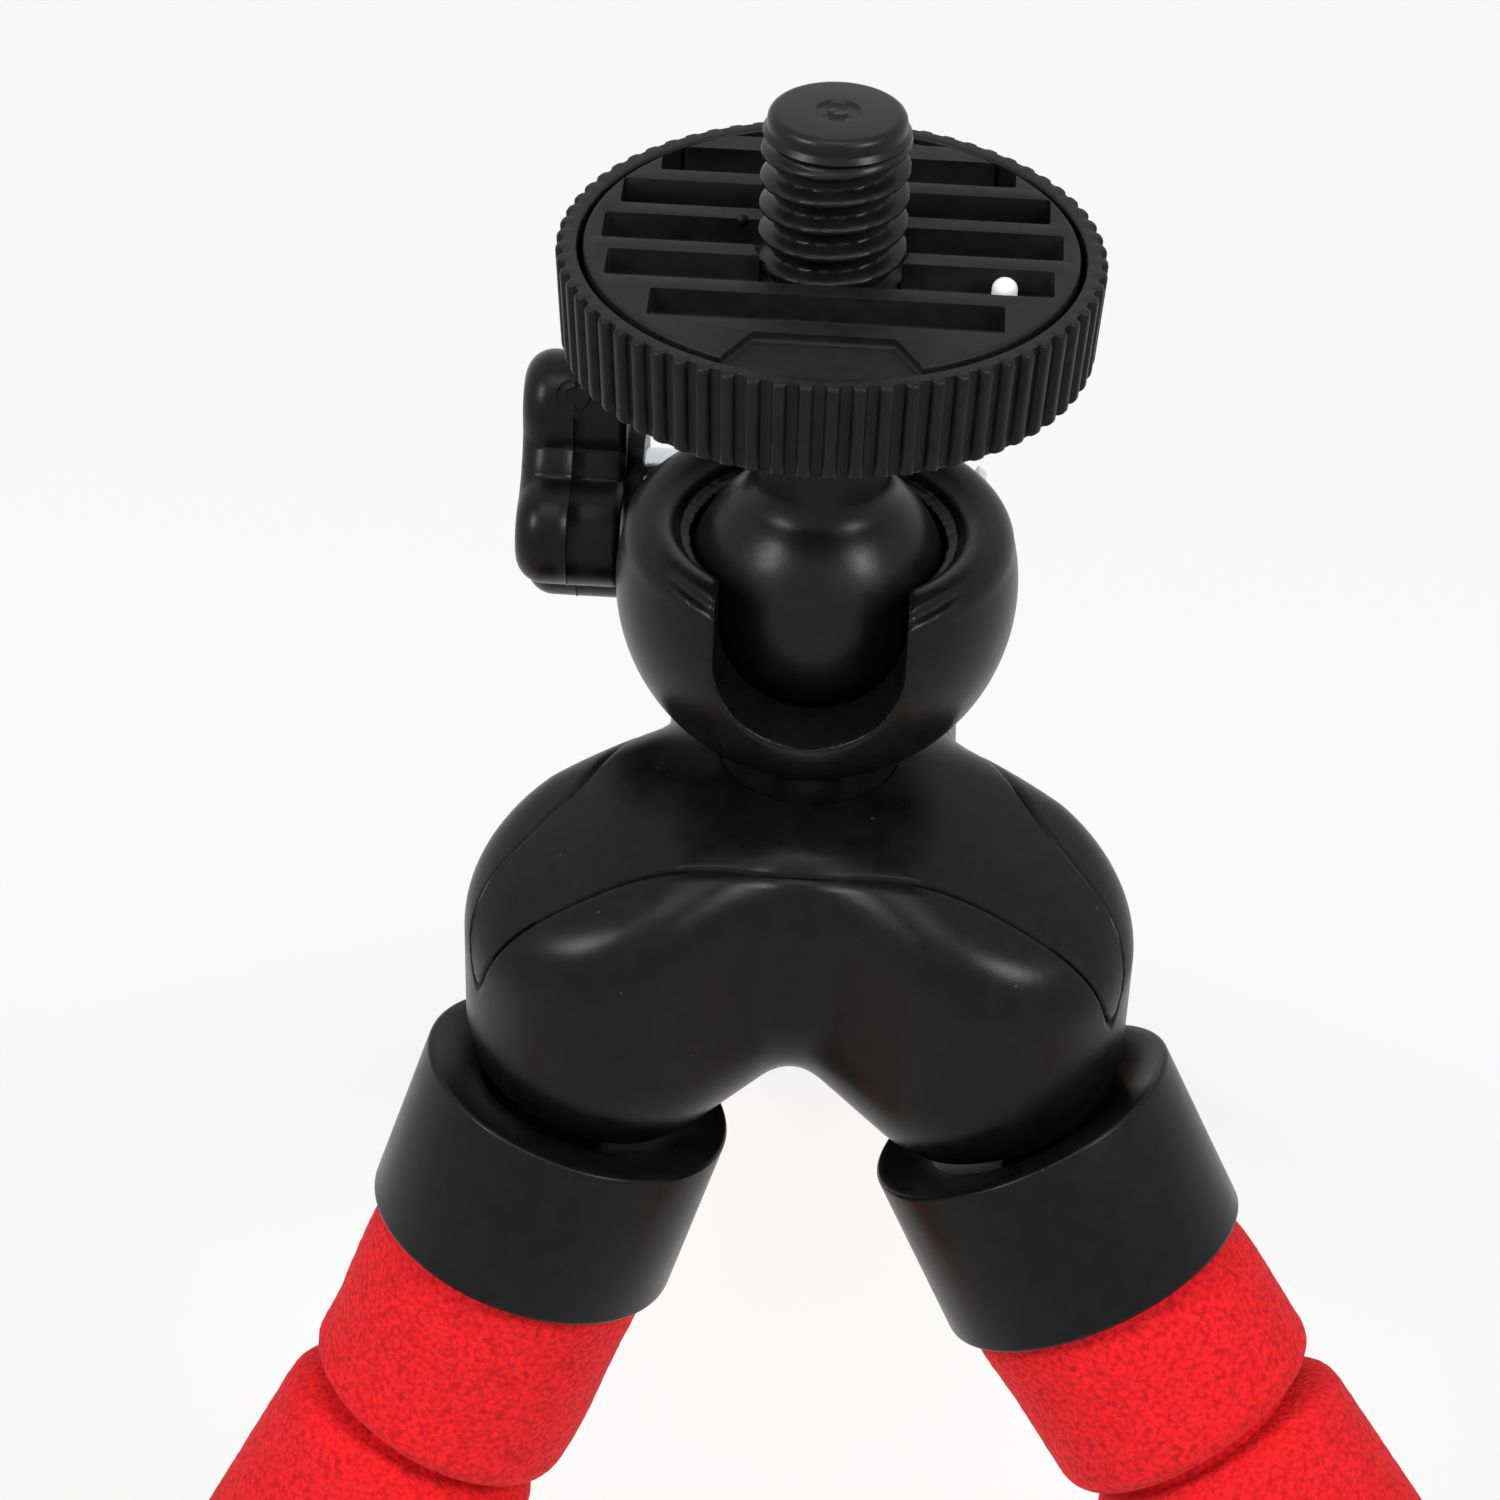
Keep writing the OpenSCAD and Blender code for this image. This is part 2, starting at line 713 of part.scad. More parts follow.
module foam(leg, k) {
    color(foam_red)
        leg_place(leg, hinge(leg, k), splay(leg, k))
            foam_stretch(stretch_len(k), k == 1, k == stretch_count);
}

module wire(leg, k) {
    length = stretch_len(k);
    last = k == stretch_count;
    color(steel)
        leg_place(leg, hinge(leg, k), splay(leg, k))
            difference() {
                union() {
                    translate([0, 0, -length])
                        cylinder(r = wire_r, h = length);
                    if (!last)
                        translate([0, 0, -length])
                            sphere(wire_r);
                }
                sphere(link_r);
            }
}

module foot(leg) {
    length = stretch_len(stretch_count);
    color(black)
        leg_place(leg, hinge(leg, stretch_count), splay(leg, stretch_count))
            difference() {
                translate([0, 0, -length]) {
                    sphere(foot_r);
                    cylinder(r = foot_r, h = foot_grip);
                }
                translate([0, 0, -length - foot_gap])
                    cylinder(r = foam_r + foot_gap, h = foot_grip + foot_r + foot_gap);
            }
}

ball_stud();
camera_pad();
lock_ring();
index_pip();
ball_cup();
clamp_screw();
clamp_knob();
clamp_nut();
centre_screw();
hub_upper();
hub_lower();
for (leg = [0:2]) {
    leg_ball(leg);
    collar(leg);
    foot(leg);
    for (k = STRETCHES) {
        foam(leg, k);
        wire(leg, k);
    }
}
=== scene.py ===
import json
from math import atan2, ceil, cos, hypot, pi, radians, sin, sqrt, tan, tau

import bmesh
import bpy
import numpy as np
from mathutils import Matrix, Vector, noise


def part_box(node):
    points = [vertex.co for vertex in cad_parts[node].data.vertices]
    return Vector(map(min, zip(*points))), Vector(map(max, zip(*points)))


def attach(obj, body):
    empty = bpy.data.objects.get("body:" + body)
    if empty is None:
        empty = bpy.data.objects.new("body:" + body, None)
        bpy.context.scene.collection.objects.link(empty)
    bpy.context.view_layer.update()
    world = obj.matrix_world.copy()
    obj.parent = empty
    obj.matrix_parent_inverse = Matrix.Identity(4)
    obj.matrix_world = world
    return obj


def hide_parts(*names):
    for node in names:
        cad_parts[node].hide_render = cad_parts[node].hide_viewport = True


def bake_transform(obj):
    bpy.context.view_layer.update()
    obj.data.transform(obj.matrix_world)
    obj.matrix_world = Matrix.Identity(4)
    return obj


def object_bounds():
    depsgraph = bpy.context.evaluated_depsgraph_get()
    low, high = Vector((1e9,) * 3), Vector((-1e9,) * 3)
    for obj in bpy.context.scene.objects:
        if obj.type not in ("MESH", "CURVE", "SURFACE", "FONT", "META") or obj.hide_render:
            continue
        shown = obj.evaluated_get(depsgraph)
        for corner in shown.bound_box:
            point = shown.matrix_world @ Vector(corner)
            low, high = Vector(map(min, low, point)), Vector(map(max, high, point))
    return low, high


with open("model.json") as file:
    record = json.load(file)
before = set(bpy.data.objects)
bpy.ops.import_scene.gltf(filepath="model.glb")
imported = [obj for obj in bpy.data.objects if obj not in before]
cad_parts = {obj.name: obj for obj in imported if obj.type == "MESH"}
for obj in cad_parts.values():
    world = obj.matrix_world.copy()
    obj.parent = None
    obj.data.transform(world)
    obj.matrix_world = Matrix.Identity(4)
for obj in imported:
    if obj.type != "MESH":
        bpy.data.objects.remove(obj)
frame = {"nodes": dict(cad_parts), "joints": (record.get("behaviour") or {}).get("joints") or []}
cad_low, cad_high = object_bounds()

# Shapes are drawn in millimetres and brought to metres when a piece is finished.
MM = 0.001
scene = bpy.context.scene
nodes = frame["nodes"]
joints = {joint["name"]: joint for joint in frame["joints"]}
LEGS = ("front_left", "front_right", "rear")
STRETCHES = 6


def millimetres(point):
    return Vector(point) / MM


def node_box(node):
    low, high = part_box(node)
    return low / MM, high / MM


def span_along(node, origin, axis):
    """Lowest and highest reach of a node along an axis, and its radius about it."""
    low, high, radius = 1e9, -1e9, 0.0
    for vertex in nodes[node].data.vertices:
        offset = vertex.co / MM - origin
        along = offset.dot(axis)
        low, high = min(low, along), max(high, along)
        radius = max(radius, (offset - axis*along).length)
    return low, high, radius


# Mesh tools

def soft_corners(points, closed=False, steps=5):
    """A polyline of (r, z) or (r, z, fillet) points, with the fillets drawn as arcs."""
    line, count = [], len(points)
    for i, point in enumerate(points):
        here = Vector(point[:2])
        fillet = point[2] if len(point) > 2 else 0
        if fillet == 0 or (not closed and i in (0, count - 1)):
            line.append(here)
            continue
        back = (Vector(points[i - 1][:2]) - here).normalized()
        ahead = (Vector(points[(i + 1) % count][:2]) - here).normalized()
        half = back.angle(ahead)/2
        middle = here + (back + ahead).normalized()*fillet/sin(half)
        first = here + back*fillet/tan(half) - middle
        last = here + ahead*fillet/tan(half) - middle
        sweep = first.angle_signed(last)
        for k in range(steps + 1):
            turned = Matrix.Rotation(-sweep*k/steps, 2) @ first
            line.append(middle + turned)
    return line


def tidy(bm):
    bmesh.ops.remove_doubles(bm, verts=bm.verts, dist=1e-4)
    bmesh.ops.dissolve_degenerate(bm, edges=bm.edges, dist=1e-5)
    bmesh.ops.recalc_face_normals(bm, faces=bm.faces)
    return bm


def lathe(profile, steps, closed=False):
    """Spins an (r, z) profile round the Z axis."""
    bm = bmesh.new()
    verts = [bm.verts.new((r, 0, z)) for r, z in profile]
    pairs = list(zip(verts, verts[1:]))
    if closed:
        pairs.append((verts[-1], verts[0]))
    edges = [bm.edges.new(pair) for pair in pairs]
    bmesh.ops.spin(bm, geom=verts + edges, axis=(0, 0, 1), angle=tau, steps=steps, use_merge=True)
    return tidy(bm)


def box(low, high):
    bm = bmesh.new()
    low, high = Vector(low), Vector(high)
    middle = Matrix.Translation((low + high)/2)
    bmesh.ops.create_cube(bm, size=1, matrix=middle @ Matrix.Diagonal((high - low).to_4d()))
    return bm


def rod(radius, low, high, place, steps=64, top=None):
    """A closed cylinder, or cone where top gives another radius, along the place's own Z."""
    bm = bmesh.new()
    middle = place @ Matrix.Translation((0, 0, (low + high)/2))
    bmesh.ops.create_cone(
        bm, cap_ends=True, segments=steps, radius1=radius,
        radius2=radius if top is None else top, depth=high - low, matrix=middle)
    return bm


def globe(radius, centre, steps=64):
    bm = bmesh.new()
    bmesh.ops.create_uvsphere(
        bm, u_segments=steps, v_segments=steps//2, radius=radius, matrix=Matrix.Translation(centre))
    return bm


def helper(bm):
    mesh = bpy.data.meshes.new("helper")
    bm.to_mesh(mesh)
    bm.free()
    obj = bpy.data.objects.new("helper", mesh)
    scene.collection.objects.link(obj)
    return obj


def worked(bm, tools, voxel=0, smooths=0):
    """Joins and cuts closed shapes in turn, then rounds the edges over where a voxel is given."""
    host = helper(bm)
    helpers = [host]
    for operation, tool in tools:
        helpers.append(helper(tool))
        step = host.modifiers.new(operation, "BOOLEAN")
        step.operation = operation
        step.solver = "EXACT"
        step.object = helpers[-1]
    if voxel:
        remesh = host.modifiers.new("remesh", "REMESH")
        remesh.mode = "VOXEL"
        remesh.voxel_size = voxel
        rounding = host.modifiers.new("rounding", "SMOOTH")
        rounding.factor = 0.5
        rounding.iterations = smooths
    graph = bpy.context.evaluated_depsgraph_get()
    mesh = bpy.data.meshes.new_from_object(host.evaluated_get(graph))
    done = bmesh.new()
    done.from_mesh(mesh)
    bpy.data.meshes.remove(mesh)
    for obj in helpers:
        bpy.data.meshes.remove(obj.data)
    return done


def piece(name, bm, finish, body, slot, *replaced, sharp=38):
    """A finished piece in metres, on its body."""
    bmesh.ops.scale(bm, vec=(MM, MM, MM), verts=bm.verts)
    mesh = bpy.data.meshes.new(name)
    bm.to_mesh(mesh)
    bm.free()
    mesh.materials.append(finish)
    mesh.shade_smooth()
    mesh.set_sharp_from_angle(angle=radians(sharp))
    obj = bpy.data.objects.new(name, mesh)
    scene.collection.objects.link(obj)
    if body:
        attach(obj, body)
    if replaced:
        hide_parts(*replaced)
    return obj


# Finishes
SPECK_SCALE, SPECK_CORE, SPECK_EDGE = 420, 0.018, 0.045


def finish_of(name, colour_low, colour_high, rough_low, rough_high, metal=0.0, specular=0.5,
              patch=900.0, grain=9000.0, relief=0.000012, depth=0.35, specks=0.0):
    """A moulded or turned surface: soft colour patches, uneven gloss, fine grain and dust specks."""
    material = bpy.data.materials.new(name)
    material.use_nodes = True
    tree = material.node_tree
    shader = tree.nodes["Principled BSDF"]
    shader.inputs["Metallic"].default_value = metal
    shader.inputs["Specular IOR Level"].default_value = specular
    where = tree.nodes.new("ShaderNodeTexCoord").outputs["Object"]

    def pattern(scale, detail):
        texture = tree.nodes.new("ShaderNodeTexNoise")
        texture.inputs["Scale"].default_value = scale
        texture.inputs["Detail"].default_value = detail
        tree.links.new(where, texture.inputs["Vector"])
        return texture.outputs["Fac"]

    def ranged(value, low, high, start=0.3, end=0.7):
        node = tree.nodes.new("ShaderNodeMapRange")
        node.inputs["From Min"].default_value = start
        node.inputs["From Max"].default_value = end
        node.inputs["To Min"].default_value = low
        node.inputs["To Max"].default_value = high
        tree.links.new(value, node.inputs["Value"])
        return node.outputs["Result"]

    patches, grains = pattern(patch, 4), pattern(grain, 3)
    tint = tree.nodes.new("ShaderNodeMix")
    tint.data_type = "RGBA"
    tint.inputs["A"].default_value = (*colour_low, 1)
    tint.inputs["B"].default_value = (*colour_high, 1)
    tree.links.new(ranged(patches, 0, 1), tint.inputs["Factor"])
    colour = tint.outputs["Result"]
    if specks:
        dust = tree.nodes.new("ShaderNodeTexVoronoi")
        dust.inputs["Scale"].default_value = SPECK_SCALE
        tree.links.new(where, dust.inputs["Vector"])
        dusty = tree.nodes.new("ShaderNodeMix")
        dusty.data_type = "RGBA"
        dusty.inputs["B"].default_value = (specks, specks, specks, 1)
        speck = ranged(dust.outputs["Distance"], 1, 0, SPECK_CORE, SPECK_EDGE)
        tree.links.new(speck, dusty.inputs["Factor"])
        tree.links.new(colour, dusty.inputs["A"])
        colour = dusty.outputs["Result"]
    tree.links.new(colour, shader.inputs["Base Color"])
    tree.links.new(ranged(patches, rough_low, rough_high), shader.inputs["Roughness"])
    bump = tree.nodes.new("ShaderNodeBump")
    bump.inputs["Strength"].default_value = depth
    bump.inputs["Distance"].default_value = relief
    tree.links.new(grains, bump.inputs["Height"])
    tree.links.new(bump.outputs["Normal"], shader.inputs["Normal"])
    return material


def foam_finish():
    """Closed-cell foam: a crinkled skin of small cells, with painted shade that makes the red darker
    down in the pits.
    """
    material = bpy.data.materials.new("red_foam")
    material.use_nodes = True
    tree = material.node_tree
    shader = tree.nodes["Principled BSDF"]
    shader.inputs["Roughness"].default_value = 0.82
    shader.inputs["Specular IOR Level"].default_value = 0.12
    shader.inputs["Sheen Weight"].default_value = 0.04
    shader.inputs["Sheen Roughness"].default_value = 0.5
    where = tree.nodes.new("ShaderNodeTexCoord").outputs["Object"]
    cells = tree.nodes.new("ShaderNodeTexVoronoi")
    cells.feature = "SMOOTH_F1"
    cells.inputs["Scale"].default_value = 3600
    cells.inputs["Smoothness"].default_value = 0.6
    crinkle = tree.nodes.new("ShaderNodeTexNoise")
    crinkle.inputs["Scale"].default_value = 3300
    crinkle.inputs["Detail"].default_value = 4
    crinkle.inputs["Roughness"].default_value = 0.6
    for texture in (cells, crinkle):
        tree.links.new(where, texture.inputs["Vector"])
    height = tree.nodes.new("ShaderNodeMath")
    height.operation = "SUBTRACT"
    tree.links.new(crinkle.outputs["Fac"], height.inputs[0])
    deep = tree.nodes.new("ShaderNodeMath")
    deep.operation = "MULTIPLY"
    deep.inputs[1].default_value = 0.45
    tree.links.new(cells.outputs["Distance"], deep.inputs[0])
    tree.links.new(deep.outputs["Value"], height.inputs[1])
    # Painted shade: the red runs darker where the cells' height is low, down in the pits, standing in
    # for the shade there.
    painted_pit_shade = tree.nodes.new("ShaderNodeValToRGB")
    painted_pit_shade.color_ramp.elements[0].position = 0.08
    painted_pit_shade.color_ramp.elements[0].color = (0.50, 0.006, 0.009, 1)
    painted_pit_shade.color_ramp.elements[1].position = 0.42
    painted_pit_shade.color_ramp.elements[1].color = (0.86, 0.014, 0.018, 1)
    tree.links.new(height.outputs["Value"], painted_pit_shade.inputs["Fac"])
    tree.links.new(painted_pit_shade.outputs["Color"], shader.inputs["Base Color"])
    bump = tree.nodes.new("ShaderNodeBump")
    bump.inputs["Strength"].default_value = 0.7
    bump.inputs["Distance"].default_value = 0.00022
    tree.links.new(height.outputs["Value"], bump.inputs["Height"])
    tree.links.new(bump.outputs["Normal"], shader.inputs["Normal"])
    return material


black = (0.0034, 0.0034, 0.0036)
black_worn = (0.0056, 0.0056, 0.0058)
moulded = finish_of("moulded_black", black, black_worn, 0.27, 0.34, specular=0.13, specks=0.04)
stud_black = finish_of(
    "stud_black", (0.005, 0.005, 0.0052), (0.0075, 0.0075, 0.0075), 0.29, 0.37, specular=0.16)
ring_black = finish_of("ring_black", black, (0.0075, 0.0075, 0.0078), 0.40, 0.48, specular=0.14)
soft_black = finish_of(
    "soft_black", (0.0045, 0.0045, 0.0047), (0.007, 0.007, 0.007), 0.46, 0.58, specular=0.15)
plated_steel = finish_of("plated_steel", (0.56, 0.57, 0.59), (0.66, 0.67, 0.68), 0.16, 0.28, metal=1.0)
drawn_wire = finish_of("drawn_wire", (0.56, 0.56, 0.57), (0.68, 0.68, 0.69), 0.3, 0.42, metal=1.0)
white_pip = finish_of("white_pip", (0.86, 0.86, 0.86), (0.92, 0.92, 0.92), 0.3, 0.4)
red_foam = foam_finish()

# Head: the ball's centre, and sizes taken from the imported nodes
ball_centre = millimetres(joints["ball_tilt"]["pos_m"])
stud_high = node_box("ball_stud")[1]
ball_r = stud_high.x
thread_r = 3.175
neck_r = 3.06


def threaded(bm, major, depth, pitch, start, end, fade):
    """Cuts a rounded right-hand thread into the rows of a lathed shaft."""
    half_width, flank = 0.46, 0.30
    for vert in bm.verts:
        radius = hypot(vert.co.x, vert.co.y)
        if radius < 0.8*major or not start <= vert.co.z <= end:
            continue
        turn = atan2(vert.co.y, vert.co.x)/tau
        phase = abs((vert.co.z/pitch - turn) % 1 - 0.5)
        valley = min(1, max(0, (half_width - phase)/flank))
        valley = valley*valley*(3 - 2*valley)
        ends = min(1, (vert.co.z - start)/fade, (end - vert.co.z)/fade)
        scale = (radius - depth*valley*max(0, ends))/radius
        vert.co.x *= scale
        vert.co.y *= scale


def stud():
    """Ball, necked shank and camera screw in one moulding."""
    pitch, thread_low, thread_depth, thread_fade = 1.27, -2.2, 0.62, 0.7
    tip_r, tip_len, tip_step, tip_round = 2.95, 0.95, 0.25, 0.42
    # The moulding gate is a rough spot in a small dish on the screw's end.
    gate_r, gate_deep, gate_rough, gate_grain = 1.0, 0.14, 0.07, 2.3
    fillet, ball_rows, fillet_rows = 1.6, 48, 8
    top = stud_high.z
    fillet_x = neck_r + fillet
    fillet_z = sqrt((ball_r + fillet)**2 - fillet_x**2)
    touch = atan2(fillet_x, fillet_z)
    profile = []
    for k in range(ball_rows + 1):
        angle = pi - (pi - touch)*k/ball_rows
        profile.append((ball_r*sin(angle), ball_centre.z + ball_r*cos(angle)))
    for k in range(1, fillet_rows + 1):
        angle = pi + touch + (pi/2 - touch)*k/fillet_rows
        profile.append((fillet_x + fillet*sin(angle), ball_centre.z + fillet_z + fillet*cos(angle)))
    rows = ceil((top - tip_len - thread_low)/(pitch/18))
    for k in range(rows + 1):
        z = thread_low + (top - tip_len - thread_low)*k/rows
        profile.append((thread_r, z))
    profile += soft_corners([
        (thread_r, top - tip_len), (tip_r, top - tip_len + tip_step, 0.12), (tip_r, top, tip_round),
        (gate_r, top)])[1:]
    profile += soft_corners([
        (gate_r, top), (0.85, top - 0.12, 0.05), (0.5, top - gate_deep), (0.34, top - 0.02, 0.06),
        (0, top)])[1:]
    bm = lathe(profile, 120)
    threaded(bm, thread_r, thread_depth, pitch, thread_low, top - tip_len + 0.05, thread_fade)
    for vert in bm.verts:
        near = hypot(vert.co.x, vert.co.y)
        if vert.co.z > top - 0.2 and near < 0.8:
            vert.co.z += gate_rough*noise.noise(vert.co*gate_grain)
    piece("stud_threaded", bm, stud_black, "head_ball", "black_plastic", "ball_stud")


def lock_ring():
    """Fluted ring: square-topped ribs with rounded flutes between them, right through both edges."""
    low, high = node_box("lock_ring")
    ribs, per_rib, wall_rows = 66, 10, 6
    flute_deep, flute_half, flute_side, skin = 0.36, 0.33, 0.14, 0.3
    outer, floor_up, bore, hole = high.x, 1.3, 10.85, 3.3
    foot_r = outer - 0.25
    profile = soft_corners([
        (hole, low.z + floor_up, 0.1), (hole, low.z, 0.15), (foot_r, low.z, 0.28), (outer, high.z, 0.24),
        (bore, high.z, 0.16), (bore, low.z + floor_up, 0.2)], closed=True)
    walls = []
    for a, b in zip(profile, profile[1:] + profile[:1]):
        walls.append(a)
        if (b - a).length > 3 and a.x > bore and b.x > bore:
            walls += [a.lerp(b, k/wall_rows) for k in range(1, wall_rows)]
    bm = lathe(walls, ribs*per_rib, closed=True)
    for vert in bm.verts:
        radius = hypot(vert.co.x, vert.co.y)
        height = (vert.co.z - low.z)/(high.z - low.z)
        edge = foot_r + (outer - foot_r)*height
        inset = edge - radius
        if inset > skin:
            continue
        phase = abs(atan2(vert.co.y, vert.co.x)/tau*ribs % 1 - 0.5)
        flute = min(1, max(0, (flute_half - phase)/flute_side))
        flute = flute*flute*(3 - 2*flute)
        scale = (radius - flute_deep*flute*(1 - inset/skin))/radius
        vert.co.x *= scale
        vert.co.y *= scale
    piece("lock_ring_fluted", bm, ring_black, "ring", "black_plastic", "lock_ring", sharp=55)


def camera_pad():
    """Round pad with straight pockets between narrow ribs, and a shallow tapered one at the front."""
    low, high = node_box("camera_pad")
    radius, hole = high.x, 3.325
    pitch, width, shift, depth = 3.15, 2.2, -0.9, 1.3
    half_lengths = (4.1, 7.4, 9.45, 9.85, 9.3, 7.8)
    front_deep, front_run, front_narrow, front_wide = 0.42, 2, 0.72, 1.28
    rear_y, rear_half, rear_deep = 9.35, 7, 0.3
    pocket_round, rim_round = 0.16, 0.09
    nub_r, nub_at = 0.3, (-3.95, 1.95, -0.12)
    bm = lathe(soft_corners([(0, low.z), (radius, low.z, 0.15), (radius, 0, 0.16), (0, 0)]), 160)
    cuts = []
    for k, half in enumerate(half_lengths):
        middle = shift + (k - (len(half_lengths) - 1)/2)*pitch
        pocket_z = -depth if k else -front_deep
        pocket = box((-half, middle - width/2, pocket_z), (half, middle + width/2, 1))
        if k == 0:
            rear = [v for v in pocket.verts if v.co.y > middle]
            front = [v for v in pocket.verts if v.co.y < middle]
            bmesh.ops.scale(pocket, vec=(front_narrow, 1, 1), verts=rear)
            bmesh.ops.translate(pocket, vec=(0, -front_run, 0), verts=front)
            bmesh.ops.scale(pocket, vec=(front_wide, 1, 1), verts=front)
        rims = [e for e in pocket.edges if all(v.co.z < 0 for v in e.verts)]
        corners = [e for e in pocket.edges if e.verts[0].co.z*e.verts[1].co.z < 0]
        bmesh.ops.bevel(pocket, geom=rims + corners, offset=pocket_round, offset_type="OFFSET",
                        affect="EDGES", segments=3, profile=0.5, material=-1, clamp_overlap=True)
        cuts.append(("DIFFERENCE", pocket))
    cuts.append(("DIFFERENCE", box((-rear_half, rear_y, -rear_deep), (rear_half, radius + 1, 1))))
    cuts.append(("DIFFERENCE", rod(hole, low.z - 1, 1, Matrix())))
    bm = worked(bm, cuts)
    bmesh.ops.dissolve_limit(bm, angle_limit=radians(0.5), verts=bm.verts, edges=bm.edges)
    rims = [e for e in bm.edges if e.is_manifold and e.calc_face_angle(0) > radians(50)
            and max(v.co.z for v in e.verts) > -0.01]
    bmesh.ops.bevel(bm, geom=rims, offset=rim_round, offset_type="OFFSET", affect="EDGES",
                    segments=3, profile=0.5, material=-1, clamp_overlap=True)
    bmesh.ops.triangulate(bm, faces=bm.faces)
    bm = worked(bm, [("UNION", globe(nub_r, nub_at, 24))])
    piece("camera_pad_ribbed", bm, soft_black, "pad", "soft_black", "camera_pad")


def index_pip():
    low, high = node_box("index_pip")
    centre, radius = (low + high)/2, (high.x - low.x)/2
    dome, foot, rows = 0.5, low.z - 0.55, 10
    angles = [pi/2*k/rows for k in range(rows + 1)]
    profile = [(radius*sin(angle), high.z - dome + dome*cos(angle)) for angle in angles]
    profile += [(radius, foot), (0, foot)]
    bm = lathe(profile, 40)
    bmesh.ops.translate(bm, vec=(centre.x, centre.y, 0), verts=bm.verts)
    piece("index_pip_domed", bm, white_pip, "pad", "pip", "index_pip")


# Clamp: its axis runs along X through the ears behind the cup
clamp_at = millimetres(joints["clamp_turn"]["pos_m"])
along_x = Matrix.Translation((0, clamp_at.y, clamp_at.z)) @ Matrix.Rotation(pi/2, 4, "Y")


def ball_cup():
    """Split socket: a thick rounded lip, a front slot for the neck, two rear ears and a stub."""
    cup_r, cavity_r, mouth, lip_r = 9.1, 6.15, 2.3, 1.25
    cup_rows, lip_rows, cavity_rows = 40, 24, 32
    lip_at = cavity_r + 0.15 + lip_r
    lip_foot_r, lip_foot_drop = 8.75, 0.35
    stub_r, stub_ease, hole_r, hole_len = 4.2, 0.4, 1.78, 3.03
    floor = node_box("ball_cup")[0].z - ball_centre.z
    # The profile runs up the outside from the stub's screw hole, over the lip and down the cavity.
    shoulder = -sqrt(cup_r**2 - stub_r**2)
    profile = [(0, floor + hole_len), (hole_r, floor + hole_len), (hole_r, floor)]
    profile += soft_corners([
        (hole_r, floor), (stub_r, floor, 0.15), (stub_r, shoulder, 0.3), (cup_r*0.7, -cup_r*0.7)])[1:-1]
    start, end = atan2(stub_r + stub_ease, shoulder), atan2(lip_foot_r, mouth - lip_foot_drop)
    for k in range(cup_rows + 1):
        angle = start + (end - start)*k/cup_rows
        profile.append((cup_r*sin(angle), cup_r*cos(angle)))
    for k in range(lip_rows + 1):
        angle = pi*k/lip_rows
        profile.append((lip_at + lip_r*cos(angle), mouth + lip_r*sin(angle)))
    edge = atan2(sqrt(cavity_r**2 - mouth**2), mouth)
    for k in range(cavity_rows + 1):
        angle = edge + (pi - edge)*k/cavity_rows
        profile.append((cavity_r*sin(angle), cavity_r*cos(angle)))
    bm = lathe(profile, 144)
    # Cutters end well outside the cup.
    beyond, past_knob = 20, 12
    slot_r, slot_drop, slot_ease, slot_half = 4.2, 3.0, 0.45, 11
    slot_z = slot_r - slot_drop - slot_ease
    front = Matrix.Translation((0, -slot_half, slot_z)) @ Matrix.Rotation(pi/2, 4, "X")
    ear_r, ear_face, ear_root, split, screw_r, nut_r = 3.3, 4.0, 5, 1.6, 1.56, 3.24
    clamp_z = clamp_at.z - ball_centre.z
    across = Matrix.Translation((0, clamp_at.y, clamp_z)) @ Matrix.Rotation(pi/2, 4, "Y")
    ears = worked(
        rod(ear_r, -ear_face, ear_face, across),
        [("UNION", box((-ear_face, ear_root, clamp_z - ear_r), (ear_face, clamp_at.y, clamp_z + ear_r))),
         ("DIFFERENCE", globe(cavity_r + 1, (0, 0, 0)))])
    above_slot = box((-slot_r, -2*slot_half, slot_z), (slot_r, 0, beyond))
    slot = worked(rod(slot_r, -slot_half, slot_half, front), [("UNION", above_slot)])
    cuts = [
        ("UNION", ears),
        ("DIFFERENCE", slot),
        ("DIFFERENCE", box((-split/2, 0, clamp_z - ear_r - 1), (split/2, beyond, beyond))),
        ("DIFFERENCE", rod(screw_r, -past_knob, past_knob, across)),
        ("DIFFERENCE", rod(nut_r, ear_face, past_knob, across))]
    # Two sink lines run out from the slot's edges, round each end of the lip: start, end and width.
    sink_lines = (
        ((slot_r, -7.55, 3.1), (8.6, -3.2, 3.5), 0.34),
        ((slot_r, -8.25, 1.75), (7.4, -6.3, 2.1), 0.4))
    for side in (-1, 1):
        for start, end, width in sink_lines:
            low, high = Vector(start), Vector(end)
            low.x, high.x = side*low.x, side*high.x
            way = high - low
            turn = way.to_track_quat("Z", "Y").to_matrix().to_4x4()
            line = rod(width, -2, way.length, Matrix.Translation(low) @ turn, 24, top=0.1)
            cuts.append(("DIFFERENCE", line))
    bm = worked(bm, cuts, voxel=0.15, smooths=4)
    bmesh.ops.translate(bm, vec=ball_centre, verts=bm.verts)
    piece("ball_cup_moulded", bm, moulded, "head_socket", "black_plastic", "ball_cup", sharp=180)


def clamp_screw():
    """Plated M3 screw: plain by the knob, threaded where it passes the ears."""
    low, high = node_box("clamp_screw")
    radius, pitch, thread_from, thread_depth, thread_fade, chamfer = 1.5, 0.5, -3.4, 0.27, 0.4, 0.25
    rows = ceil((high.x - thread_from)/(pitch/10))
    profile = [(0, low.x), (radius, low.x)]
    profile += [(radius, thread_from + (high.x - thread_from - chamfer)*k/rows) for k in range(rows + 1)]
    profile += [(radius - 0.3, high.x), (0, high.x)]
    bm = lathe(profile, 48)
    threaded(bm, radius, thread_depth, pitch, thread_from, high.x - 0.1, thread_fade)
    bm.transform(along_x)
    piece("clamp_screw_threaded", bm, plated_steel, "clamp", "steel", "clamp_screw")


